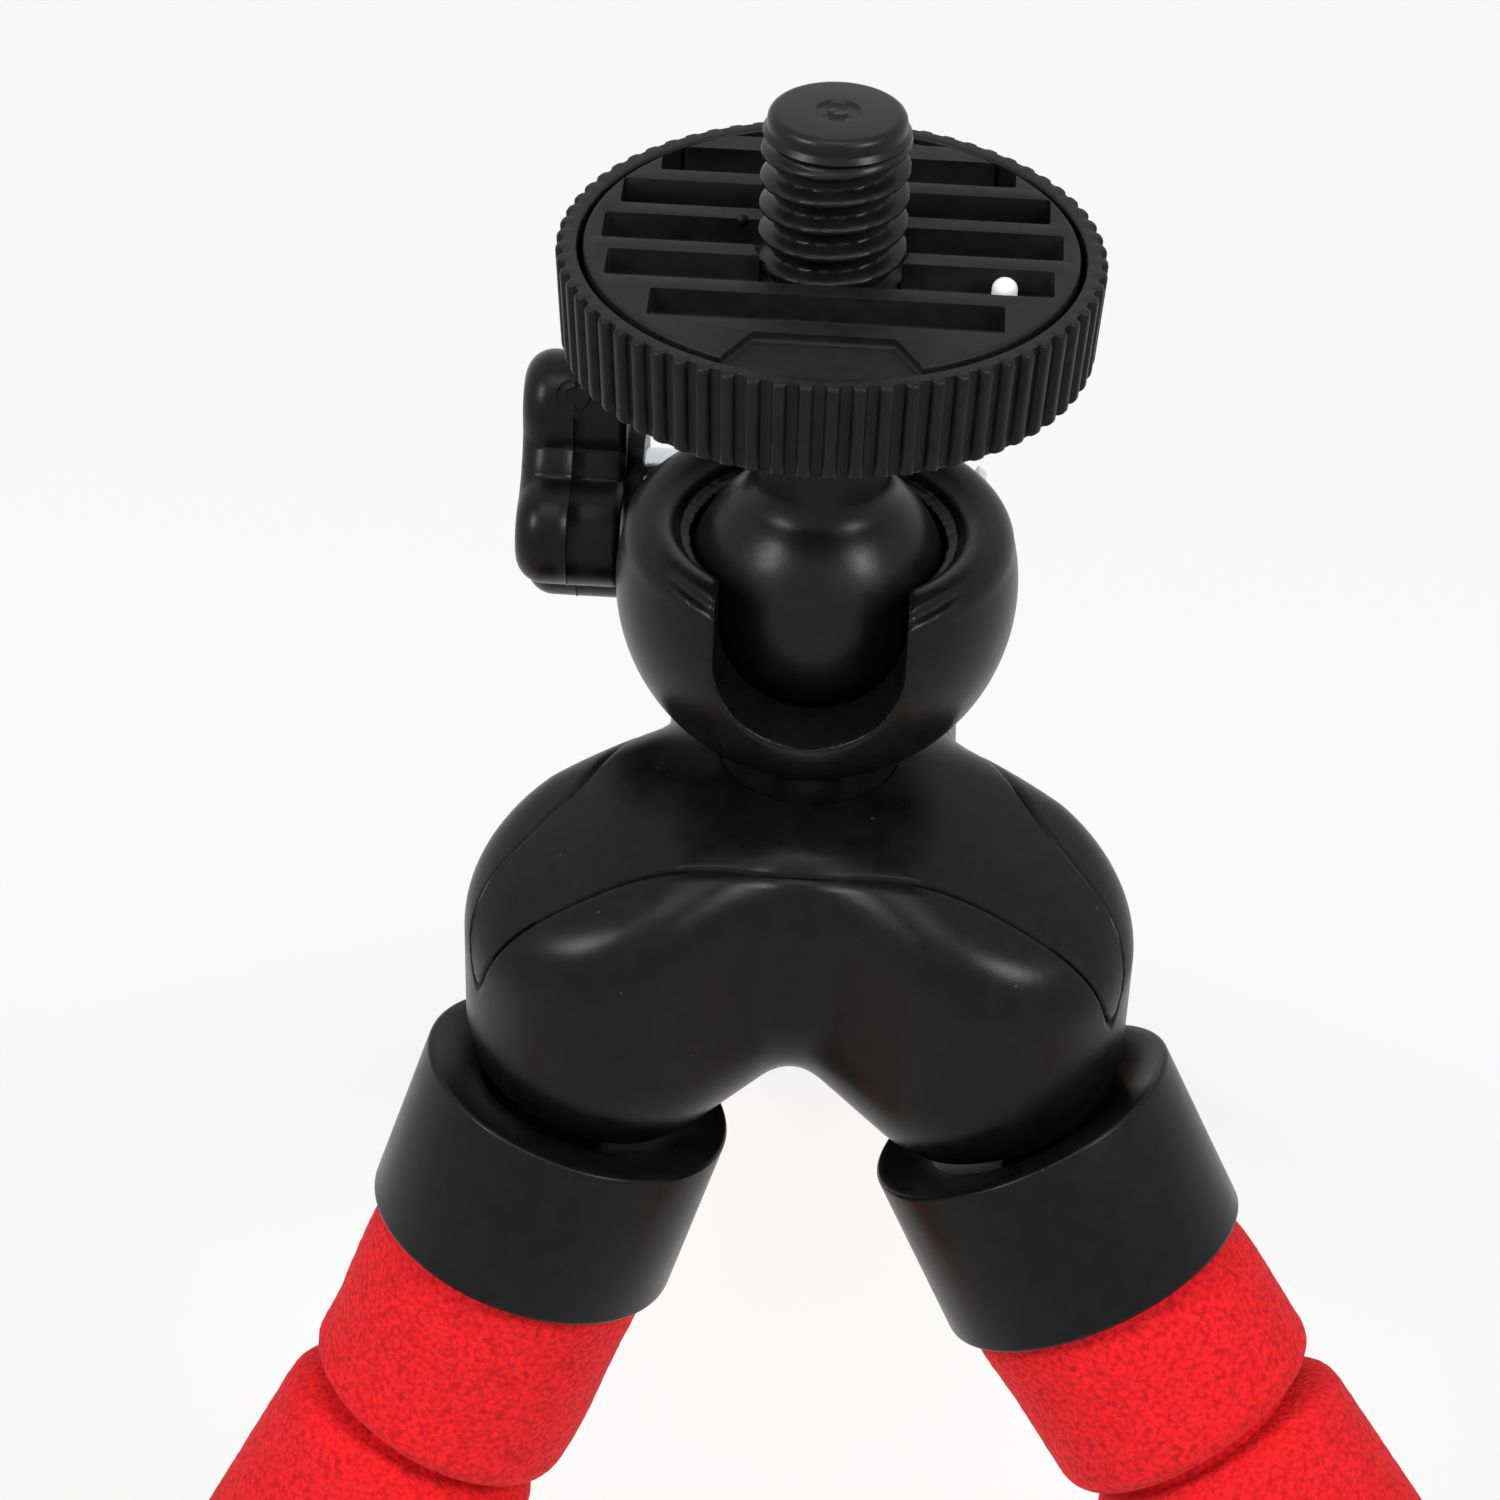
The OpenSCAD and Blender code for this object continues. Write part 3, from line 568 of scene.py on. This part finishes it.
def clamp_knob():
    """Four-lobed knob, well rounded outside, with a parting line and a round mould mark on one lobe."""
    low, high = node_box("clamp_knob")
    boss_r, boss_len, screw_r = 2.7, 0.7, 1.53
    face_in, face_out = high.x - boss_len, low.x
    core_r, lobe_out, lobe_r, turn0 = 4.3, 4.3, 2.5, radians(6)
    # The lathed disc has this radius before it is drawn in to the lobes.
    reference, row_step = 8.0, 0.7
    outside, inside, valley_blend = 1.35, 0.4, 0.9
    line_half, line_up = 0.08, 0.05
    mark_r, mark_inner, dimple_r, mark_floor, dimple_floor, mark_top = 0.85, 0.68, 0.42, 2.36, 2.4, 3.2

    def outline(turn):
        delta = (turn - turn0 + pi/4) % (pi/2) - pi/4
        room = lobe_r**2 - (lobe_out*sin(delta))**2
        lobe = lobe_out*cos(delta) + sqrt(room) if room > 0 else 0
        blend = max(0, valley_blend - abs(core_r - lobe))
        return max(core_r, lobe) + blend*blend/(4*valley_blend)

    def edge_point(turn):
        step = 0.01
        here = Vector((cos(turn), sin(turn)))*outline(turn)
        ahead = Vector((cos(turn + step), sin(turn + step)))*outline(turn + step)
        back = Vector((cos(turn - step), sin(turn - step)))*outline(turn - step)
        along = (ahead - back).normalized()
        return here, Vector((along.y, -along.x))

    middle = face_out + (face_in - face_out)/2
    profile = soft_corners([
        (0, face_out), (reference, face_out, outside), (reference, middle - line_half),
        (reference + line_up, middle), (reference, middle + line_half), (reference, face_in, inside),
        (0, face_in)], steps=9)
    rows = []
    for a, b in zip(profile, profile[1:]):
        parts = max(1, ceil((b - a).length/row_step))
        rows += [a.lerp(b, k/parts) for k in range(parts)]
    rows.append(profile[-1])
    bm = lathe(rows, 200)
    flat = reference - outside - 0.02
    for vert in bm.verts:
        radius = hypot(vert.co.x, vert.co.y)
        if radius < 1e-6:
            continue
        here, normal = edge_point(atan2(vert.co.y, vert.co.x))
        inset = reference - min(radius, reference + 0.1)
        if radius >= flat:
            spot = here - normal*inset
        else:
            spot = (here - normal*(reference - flat))*(radius/flat)
        vert.co.x, vert.co.y = spot
    boss = rod(boss_r, face_in - 0.3, high.x, Matrix())
    lobe = Vector((cos(turn0 + pi), sin(turn0 + pi), 0))*lobe_out + Vector((0, 0, middle))
    facing_up = Vector((-0.62, -0.78, 0)).to_track_quat("Z", "Y").to_matrix().to_4x4()
    mark_at = Matrix.Translation(lobe) @ facing_up
    ring = worked(
        rod(mark_r, mark_floor, mark_top, mark_at), [("DIFFERENCE", rod(mark_inner, 2.0, 3.4, mark_at))])
    dimple = rod(dimple_r, dimple_floor, mark_top, mark_at)
    screw_hole = rod(screw_r, (face_in + face_out)/2, high.x + 1, Matrix())
    bm = worked(bm, [
        ("UNION", boss), ("DIFFERENCE", ring), ("DIFFERENCE", dimple), ("DIFFERENCE", screw_hole)])
    bm.transform(along_x)
    piece("clamp_knob_lobed", bm, moulded, "clamp", "black_plastic", "clamp_knob", sharp=40)


def clamp_nut():
    low, high = node_box("clamp_nut")
    half = min(high.z - low.z, high.y - low.y)/2
    face_r, side_r, cut, over, hole_r = half + 0.05, half + 0.75, 0.5, 0.1, 1.56
    hexagon = rod(half/cos(pi/6), low.x, high.x, Matrix(), 6)
    chamfer = lathe([
        (0, low.x - over), (face_r, low.x - over), (side_r, low.x + cut), (side_r, high.x - cut),
        (face_r, high.x + over), (0, high.x + over)], 64)
    hole = rod(hole_r, low.x - 1, high.x + 1, Matrix())
    bm = worked(hexagon, [("INTERSECT", chamfer), ("DIFFERENCE", hole)])
    bm.transform(along_x)
    piece("clamp_nut_chamfered", bm, plated_steel, "head_socket", "steel", "clamp_nut")


# Hub: three rounded arms under a dished dome, split along a seam that dips over each lobe
lobe_at = millimetres(joints["leg_rear_swing"]["pos_m"])
LOBE_OUT, LOBE_Z, LOBE_R = hypot(lobe_at.x, lobe_at.y), lobe_at.z, 7.0
KEEL_Z, DOME_Z, CORE_Z = LOBE_Z + 4.5, LOBE_Z + 16.6, LOBE_Z + 2.5
DOME_SLOPE, DOME_CROWN, DISH_DEPTH, DISH_REACH = radians(29.5), 2.3, 3.2, 6.8
EDGE_BLEND, TIP_BLEND, TIP_AT, VALLEY_BLEND = 6.0, 2.2, 12.0, 1.8
SEAM_VALLEY, SEAM_DIP, SEAM_ROUND, SEAM_REACH = radians(45.3), radians(50), radians(2), radians(12)


def blend_min(a, b, width):
    return np.minimum(a, b) - np.maximum(width - np.abs(a - b), 0)**2/(4*width)


def edge_gap(u, z, start, end):
    """Distance from points to a straight edge in the plane of an arm."""
    line = np.subtract(end, start)
    share = np.clip(((u - start[0])*line[0] + (z - start[1])*line[1])/(line @ line), 0, 1)
    return np.hypot(u - start[0] - line[0]*share, z - start[1] - line[1]*share)


def arm_gap(x, y, z, turn):
    """Distance to one arm, a rounded wall that stands on its keel; less than nought inside."""
    u, side = x*cos(turn) + y*sin(turn), y*cos(turn) - x*sin(turn)
    keel = KEEL_Z + (LOBE_Z - KEEL_Z)*u/LOBE_OUT
    root, tip = (0, KEEL_Z), (LOBE_OUT, LOBE_Z)
    sides = np.minimum(edge_gap(u, z, root, (0, 0)), edge_gap(u, z, tip, (LOBE_OUT, 0)))
    around = np.minimum(edge_gap(u, z, root, tip), sides)
    inside = (u >= 0) & (u <= LOBE_OUT) & (z >= keel)
    return np.hypot(side, np.where(inside, 0, around)) - LOBE_R


def hub_gap(x, y, z):
    radius = np.hypot(x, y)
    dish = DISH_DEPTH*np.exp(-(radius/DISH_REACH)**2)
    dome = DOME_Z - tan(DOME_SLOPE)*np.hypot(radius, DOME_CROWN) - dish
    arms = blend_min(arm_gap(x, y, z, pi/2), arm_gap(x, y, z, pi*7/6), VALLEY_BLEND)
    arms = blend_min(arms, arm_gap(x, y, z, pi*11/6), VALLEY_BLEND)
    width = EDGE_BLEND + (TIP_BLEND - EDGE_BLEND)*np.minimum(radius/TIP_AT, 1)
    return -blend_min(-arms, -(z - dome)*cos(DOME_SLOPE), width)


def hub_reach(turn, tilt):
    """How far the hub's surface lies from its core in each direction, found by halving."""
    farthest, halvings = 30.0, 34
    low, high = np.zeros_like(turn), np.full_like(turn, farthest)
    way = np.sin(tilt)*np.cos(turn), np.sin(tilt)*np.sin(turn), np.cos(tilt)
    for _ in range(halvings):
        middle = (low + high)/2
        within = hub_gap(way[0]*middle, way[1]*middle, CORE_Z + way[2]*middle) < 0
        low, high = np.where(within, middle, low), np.where(within, high, middle)
    return (low + high)/2, way


def hub_shell(upper):
    """One shell of the hub: a flat disc of rows and turns, raised to the hub's surface."""
    rows, around, inward = (72, 336, 8) if upper else (84, 336, 8)
    seam_edge, seam_drop, seam_gap = 0.2, 0.13, 0.012
    outer = [(k/rows, 0) for k in range(rows + 1)]
    inner = [(1 + k/inward, 0) for k in range(1, inward + 1)]
    bm = lathe(outer + inner, around)
    bm.verts.ensure_lookup_table()
    flat = np.array([v.co[:2] for v in bm.verts])
    turn, share = np.arctan2(flat[:, 1], flat[:, 0]), np.hypot(flat[:, 0], flat[:, 1])
    from_lobe = (turn - pi/6) % (tau/3) - pi/3
    seam = SEAM_VALLEY + SEAM_DIP*np.exp(-np.hypot(from_lobe, SEAM_ROUND)/SEAM_REACH)
    row = np.minimum(share, 1)
    tilt = seam*row if upper else pi - (pi - seam)*row
    reach, way = hub_reach(turn, tilt)
    arc = (1 - row)*(seam if upper else pi - seam)*reach
    dip = np.clip(1 - arc/seam_edge, 0, 1)
    reach = reach - seam_drop*dip**2 - seam_gap*(share > 0.9999)
    reach = reach*np.clip(2 - share, 0, 1)
    place = np.stack([way[0]*reach, way[1]*reach, CORE_Z + way[2]*reach], 1)
    for vert, spot in zip(bm.verts, place):
        vert.co = spot
    return tidy(bm)


def hub():
    """Both shells, with the stub's bore, the leg balls' sockets and mouths, and the screw's recess."""
    stub_r, screw_r, head_r, head_h, recess = 4.26, 1.81, 3.8, 2.03, 7
    socket_r, splay, swing, mouth_len = 3.9, radians(24), radians(46.5), 9
    # The lower shell is cut back inside this ball and cone, where a collar swings over a lobe.
    collar_r, collar_half, cone_len = 8.89, radians(60), 12
    stub_low = node_box("ball_cup")[0].z
    sockets = [millimetres(joints[f"leg_{leg}_swing"]["pos_m"]) for leg in LEGS]
    bores = [
        ("DIFFERENCE", rod(stub_r, stub_low - 0.03, stub_low + 12, Matrix(), 96)),
        ("DIFFERENCE", rod(screw_r, CORE_Z - 1, stub_low + 1, Matrix()))]
    upper = worked(hub_shell(True), bores + [("DIFFERENCE", globe(socket_r, at)) for at in sockets])
    piece("hub_upper_shell", upper, moulded, "hub", "black_plastic", "hub_upper", sharp=50)
    cuts = []
    for at in sockets:
        out = Vector((at.x, at.y, 0)).normalized()
        axis = out*sin(splay) - Vector((0, 0, 1))*cos(splay)
        turn = axis.to_track_quat("Z", "Y").to_matrix().to_4x4()
        place = Matrix.Translation(at)
        cone = rod(cone_len*tan(collar_half), -cone_len, 0, place, top=0.02)
        collar_room = worked(
            globe(collar_r, at), [("DIFFERENCE", globe(LOBE_R + 0.1, at)), ("INTERSECT", cone)])
        cuts += [
            ("DIFFERENCE", globe(socket_r, at)),
            ("DIFFERENCE", rod(socket_r, 0, LOBE_R, place)),
            ("DIFFERENCE", rod(0.02, 0, mouth_len, place @ turn, top=mouth_len*tan(swing))),
            ("DIFFERENCE", collar_room)]
    head_top = node_box("centre_screw")[0].z + head_h
    cuts.append(("DIFFERENCE", rod(head_r, head_top - recess, head_top, Matrix())))
    cuts.append(("DIFFERENCE", rod(screw_r, head_top - 1, head_top + recess, Matrix())))
    lower = worked(hub_shell(False), cuts)
    piece("hub_lower_shell", lower, moulded, "hub", "black_plastic", "hub_lower", sharp=50)


def centre_screw():
    """Pan-headed screw under the hub, with a cross recess."""
    low, high = node_box("centre_screw")
    head_r, head_h, shank = high.x, 2.0, 1.75
    arm_half, arm_w, arm_deep = 1.9, 0.4, 1.1
    profile = soft_corners([
        (0, low.z), (head_r - 0.5, low.z + 0.1, 0.5), (head_r, low.z + 1.1, 0.4),
        (head_r, low.z + head_h, 0.1), (shank, low.z + head_h), (shank, high.z - 0.6), (0.9, high.z),
        (0, high.z)])
    bm = lathe(profile, 64)
    cross = []
    for turn in (0, pi/2):
        bar = box((-arm_half, -arm_w, low.z - 0.5), (arm_half, arm_w, low.z + arm_deep))
        bmesh.ops.rotate(bar, cent=(0, 0, 0), matrix=Matrix.Rotation(turn, 3, "Z"), verts=bar.verts)
        cross.append(("DIFFERENCE", bar))
    piece("centre_screw_cross", worked(bm, cross), plated_steel, "head_socket", "steel", "centre_screw")


# Legs

def leg_points(leg):
    """The leg's hinges from its ball to its foot, in millimetres, with the far end of the foam last."""
    names = [f"leg_{leg}_swing"] + [f"leg_{leg}_bend_{k}" for k in range(1, STRETCHES + 1)]
    points = [millimetres(joints[name]["pos_m"]) for name in names]
    wire = [v.co/MM for v in nodes[f"wire_{leg}_{STRETCHES}"].data.vertices]
    middle = (Vector(map(min, *wire)) + Vector(map(max, *wire)))/2
    way = (middle - points[-1]).normalized()
    reach = max((v - points[-1]).dot(way) for v in wire)
    return points + [points[-1] + way*reach]


def facing(origin, axis, side):
    """A placing whose Z runs along an axis and whose Y is the given side."""
    z = axis.normalized()
    y = (side - z*side.dot(z)).normalized()
    x = y.cross(z)
    turn = Matrix((x, y, z)).transposed().to_4x4()
    return Matrix.Translation(origin) @ turn


def collar(leg, points):
    """Dished cup on the top of a leg: narrow flat rim, a mouth for the foam below."""
    axis = (points[1] - points[0]).normalized()
    low, high, radius = span_along(f"collar_{leg}", points[0], axis)
    stem, dish, mouth, wall = 1.83, LOBE_R + 0.35, 3.6, 0.35
    slide, sink, rim_w, dish_rows = 1.25, 0.4, 0.5, 14
    low, high = low + slide, high + slide
    # Points run from the dish's foot, round the rim and the mouth, to the stem's hole.
    foot = sqrt(dish**2 - stem**2)
    rim_z = low + sink
    rim = sqrt(dish**2 - rim_z**2)
    top = [(stem, foot)]
    for k in range(1, dish_rows + 1):
        angle = atan2(stem, foot) + (atan2(rim, rim_z) - atan2(stem, foot))*k/dish_rows
        top.append((dish*sin(angle), dish*cos(angle)))
    profile = top + soft_corners([
        (rim, rim_z), (radius - rim_w, low, 0.2), (radius - 0.05, low, 0.2), (radius, high, 0.3),
        (radius - wall, high, 0.1), (radius - wall - 0.02, high - mouth, 0.3), (stem, high - mouth)])[1:]
    bm = lathe(profile, 144, closed=True)
    side = Vector((-points[0].y, points[0].x, 0))
    bm.transform(facing(points[0], axis, side))
    piece(f"collar_{leg}_dished", bm, moulded, f"leg_{leg}_0", "black_plastic", f"collar_{leg}")


def foot_cap(leg, points):
    """Rounded cap on the end of a leg, with a shallow ring round its mouth."""
    axis = (points[-1] - points[-2]).normalized()
    low, high, radius = span_along(f"foot_{leg}", points[-2], axis)
    end, wall, ring_len, ring_step, dome_rows = high - radius, 0.5, 1.0, 0.22, 32
    inner, floor_at = radius - wall, end + 0.1
    profile = [(0, floor_at), (inner - 0.2, floor_at)]
    profile += soft_corners([
        (inner, floor_at), (inner, low, 0.15), (radius, low, 0.3), (radius, low + ring_len, 0.1),
        (radius - ring_step, low + 1.2, 0.1), (radius - 0.1, end - 0.4)])
    for k in range(dome_rows + 1):
        angle = pi/2 - pi/2*k/dome_rows
        profile.append(((radius - 0.02)*sin(angle), end + radius*cos(angle)))
    bm = lathe(profile, 112)
    side = Vector((-points[0].y, points[0].x, 0))
    bm.transform(facing(points[-2], axis, side))
    piece(f"foot_{leg}_cap", bm, soft_black, f"leg_{leg}_{STRETCHES}", "soft_black", f"foot_{leg}")


def foam_leg(leg, points):
    """Foam sleeve in stretches that meet half way between the grooves, each bending across one hinge."""
    side = Vector((-points[0].y, points[0].x, 0)).normalized()
    hinges = points[1:-1]
    ways = [(b - a).normalized() for a, b in zip(points, points[1:])]
    lengths = [(b - a).length for a, b in zip(points, points[1:])]
    foam_r = span_along(f"foam_{leg}_3", hinges[2], ways[3])[2]
    groove, lip, gap, ease = 2.1, 2.0, 0.3, 3.6
    wire_r, tuck, foot_gap, squeeze = 1.7, 2.2, 0.25, 0.22
    fine_row, row, fine_reach = 0.13, 0.27, 2.4
    dents, dent_grain, pits, pit_grain, dent_fade = 0.025, 1.9, 0.03, 5.1, 0.6
    # The sleeve sits a little further down the wire than its hinges.
    slip = {"front_left": 3.2, "front_right": 1.1, "rear": 1.2}[leg]
    for k in range(1, STRETCHES + 1):
        hinge, before, after = hinges[k - 1], ways[k - 1], ways[k]
        first, last = k == 1, k == STRETCHES
        start = -tuck if first else -lengths[k - 1]/2
        end = lengths[k] - foot_gap if last else lengths[k]/2
        bend_from, bend_to = (0.5, 5.0) if first else (-ease, ease)
        rows, s = [], start
        while s < end - 1e-6:
            rows.append(s)
            s += fine_row if abs(s - slip) < fine_reach and not first else row
        rows.append(end)

        def radius_at(s):
            if first:
                return foam_r - squeeze*min(1, max(0, (2.5 - s)/3))
            d = abs(s - slip)
            if d >= lip:
                return foam_r
            if d <= gap:
                return foam_r - groove
            share = (lip - d)/(lip - gap)
            return foam_r - groove*(1 - sqrt(max(0, 1 - share**2.4)))

        profile = [(wire_r, rows[0])] + [(radius_at(s), s) for s in rows] + [(wire_r, rows[-1])]
        bm = lathe(profile, 172, closed=True)
        for vert in bm.verts:
            s = vert.co.z
            share = min(1, max(0, (s - bend_from)/(bend_to - bend_from)))
            share = share*share*(3 - 2*share)
            way = before.lerp(after, share).normalized()
            out = side.cross(way)
            centre = hinge + (before*s).lerp(after*s, share)
            spot = centre + out*vert.co.x + side*vert.co.y
            around = spot - centre
            if around.length > 3:
                rough = dents*noise.noise(spot*dent_grain) + pits*noise.noise(spot*pit_grain)
                to_end = min(s - rows[0], rows[-1] - s)
                fade = min(1, to_end/dent_fade) if first or last else 1
                spot += around.normalized()*rough*max(0, fade)
            vert.co = spot
        bmesh.ops.recalc_face_normals(bm, faces=bm.faces)
        obj = piece(f"foam_{leg}_sleeve_{k}", bm, red_foam, None, "foam", f"foam_{leg}_{k}", sharp=70)
        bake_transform(obj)


stud()
lock_ring()
camera_pad()
index_pip()
ball_cup()
clamp_screw()
clamp_knob()
clamp_nut()
hub()
centre_screw()
for leg in LEGS:
    points = leg_points(leg)
    collar(leg, points)
    foot_cap(leg, points)
    foam_leg(leg, points)

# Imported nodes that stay: the leg balls inside the hub, and the wires inside the foam
for name, obj in nodes.items():
    if name.startswith("leg_ball"):
        obj.data.materials.clear()
        obj.data.materials.append(moulded)
    if name.startswith("wire"):
        obj.data.materials.clear()
        obj.data.materials.append(drawn_wire)

# Floor, light and camera
floor_z = cad_low.z


def seen_rays(tree):
    """One for camera, glossy and transmission rays, and nought for the rest."""
    path = tree.nodes.new("ShaderNodeLightPath")
    seen = path.outputs["Is Camera Ray"]
    for ray in ("Is Glossy Ray", "Is Transmission Ray"):
        either = tree.nodes.new("ShaderNodeMath")
        either.operation = "MAXIMUM"
        tree.links.new(seen, either.inputs[0])
        tree.links.new(path.outputs[ray], either.inputs[1])
        seen = either.outputs["Value"]
    return seen


def floor_finish():
    material = bpy.data.materials.new("pale_floor")
    material.use_nodes = True
    tree = material.node_tree
    shader = tree.nodes["Principled BSDF"]
    shader.inputs["Base Color"].default_value = (0.9, 0.9, 0.9, 1)
    shader.inputs["Roughness"].default_value = 0.9
    shader.inputs["Specular IOR Level"].default_value = 0.1
    glow = tree.nodes.new("ShaderNodeEmission")
    glow.inputs["Strength"].default_value = 1.0
    share = tree.nodes.new("ShaderNodeMath")
    share.operation = "MULTIPLY"
    tree.links.new(seen_rays(tree), share.inputs[0])
    # The glow grows with distance, so that the floor runs into the white without a horizon.
    where = tree.nodes.new("ShaderNodeTexCoord").outputs["Object"]
    far = tree.nodes.new("ShaderNodeVectorMath")
    far.operation = "LENGTH"
    tree.links.new(where, far.inputs[0])
    fade = tree.nodes.new("ShaderNodeMapRange")
    fade.inputs["From Min"].default_value = 0.15
    fade.inputs["From Max"].default_value = 0.6
    fade.inputs["To Min"].default_value = 0.74
    fade.inputs["To Max"].default_value = 1.0
    tree.links.new(far.outputs["Value"], fade.inputs["Value"])
    tree.links.new(fade.outputs["Result"], share.inputs[1])
    mix = tree.nodes.new("ShaderNodeMixShader")
    tree.links.new(share.outputs["Value"], mix.inputs["Fac"])
    tree.links.new(shader.outputs["BSDF"], mix.inputs[1])
    tree.links.new(glow.outputs["Emission"], mix.inputs[2])
    tree.links.new(mix.outputs["Shader"], tree.nodes["Material Output"].inputs["Surface"])
    return material


def floor():
    bm = bmesh.new()
    bmesh.ops.create_grid(bm, x_segments=2, y_segments=2, size=3.0)
    bmesh.ops.translate(bm, vec=(0, 0, floor_z - 0.0002), verts=bm.verts)
    mesh = bpy.data.meshes.new("floor")
    bm.to_mesh(mesh)
    bm.free()
    mesh.materials.append(floor_finish())
    obj = bpy.data.objects.new("floor", mesh)
    scene.collection.objects.link(obj)


def studio_world():
    world = bpy.data.worlds.new("studio")
    scene.world = world
    world.use_nodes = True
    tree = world.node_tree
    background = tree.nodes["Background"]
    level = tree.nodes.new("ShaderNodeMapRange")
    level.inputs["To Min"].default_value = 0.25
    level.inputs["To Max"].default_value = 1.0
    tree.links.new(seen_rays(tree), level.inputs["Value"])
    background.inputs["Color"].default_value = (1, 1, 1, 1)
    tree.links.new(level.outputs["Result"], background.inputs["Strength"])


def softbox(name, azimuth, elevation, distance, size, power):
    light = bpy.data.lights.new(name, "AREA")
    light.shape = "RECTANGLE"
    light.size, light.size_y = size
    light.energy = power
    obj = bpy.data.objects.new(name, light)
    scene.collection.objects.link(obj)
    a, e = radians(azimuth), radians(elevation)
    way = Vector((sin(a)*cos(e), -cos(a)*cos(e), sin(e)))
    aim = Vector((0, 0, -0.03))
    obj.location = aim + way*distance
    obj.rotation_euler = (-way).to_track_quat("-Z", "Y").to_euler()


def camera():
    """The photograph's view: its place, direction and roll in the part's frame."""
    data = bpy.data.cameras.new("camera")
    sensor, focal_px, image_px = 36.0, 3800, 1500
    data.sensor_width = sensor
    data.lens = sensor*focal_px/image_px
    data.clip_start, data.clip_end = 0.01, 10
    obj = bpy.data.objects.new("camera", data)
    scene.collection.objects.link(obj)
    yaw, pitch, roll = radians(-2.30), radians(36.65), radians(1.97)
    ahead = Vector((sin(yaw)*cos(pitch), cos(yaw)*cos(pitch), -sin(pitch)))
    right = ahead.cross(Vector((0, 0, 1))).normalized()
    up = right.cross(ahead)
    right, up = right*cos(roll) + up*sin(roll), up*cos(roll) - right*sin(roll)
    turn = Matrix((right, up, -ahead)).transposed().to_4x4()
    place = Vector((2.97, -142.65, 79.16))
    obj.matrix_world = Matrix.Translation(place*MM) @ turn
    scene.camera = obj


floor()
studio_world()
softbox("softbox_left", -57, 40, 0.5, (0.12, 0.16), 1.45)
softbox("softbox_right", 55, 40, 0.5, (0.12, 0.16), 1.45)
softbox("softbox_top", 0, 78, 0.5, (0.3, 0.2), 0.75)
camera()
scene.view_settings.view_transform = "Standard"
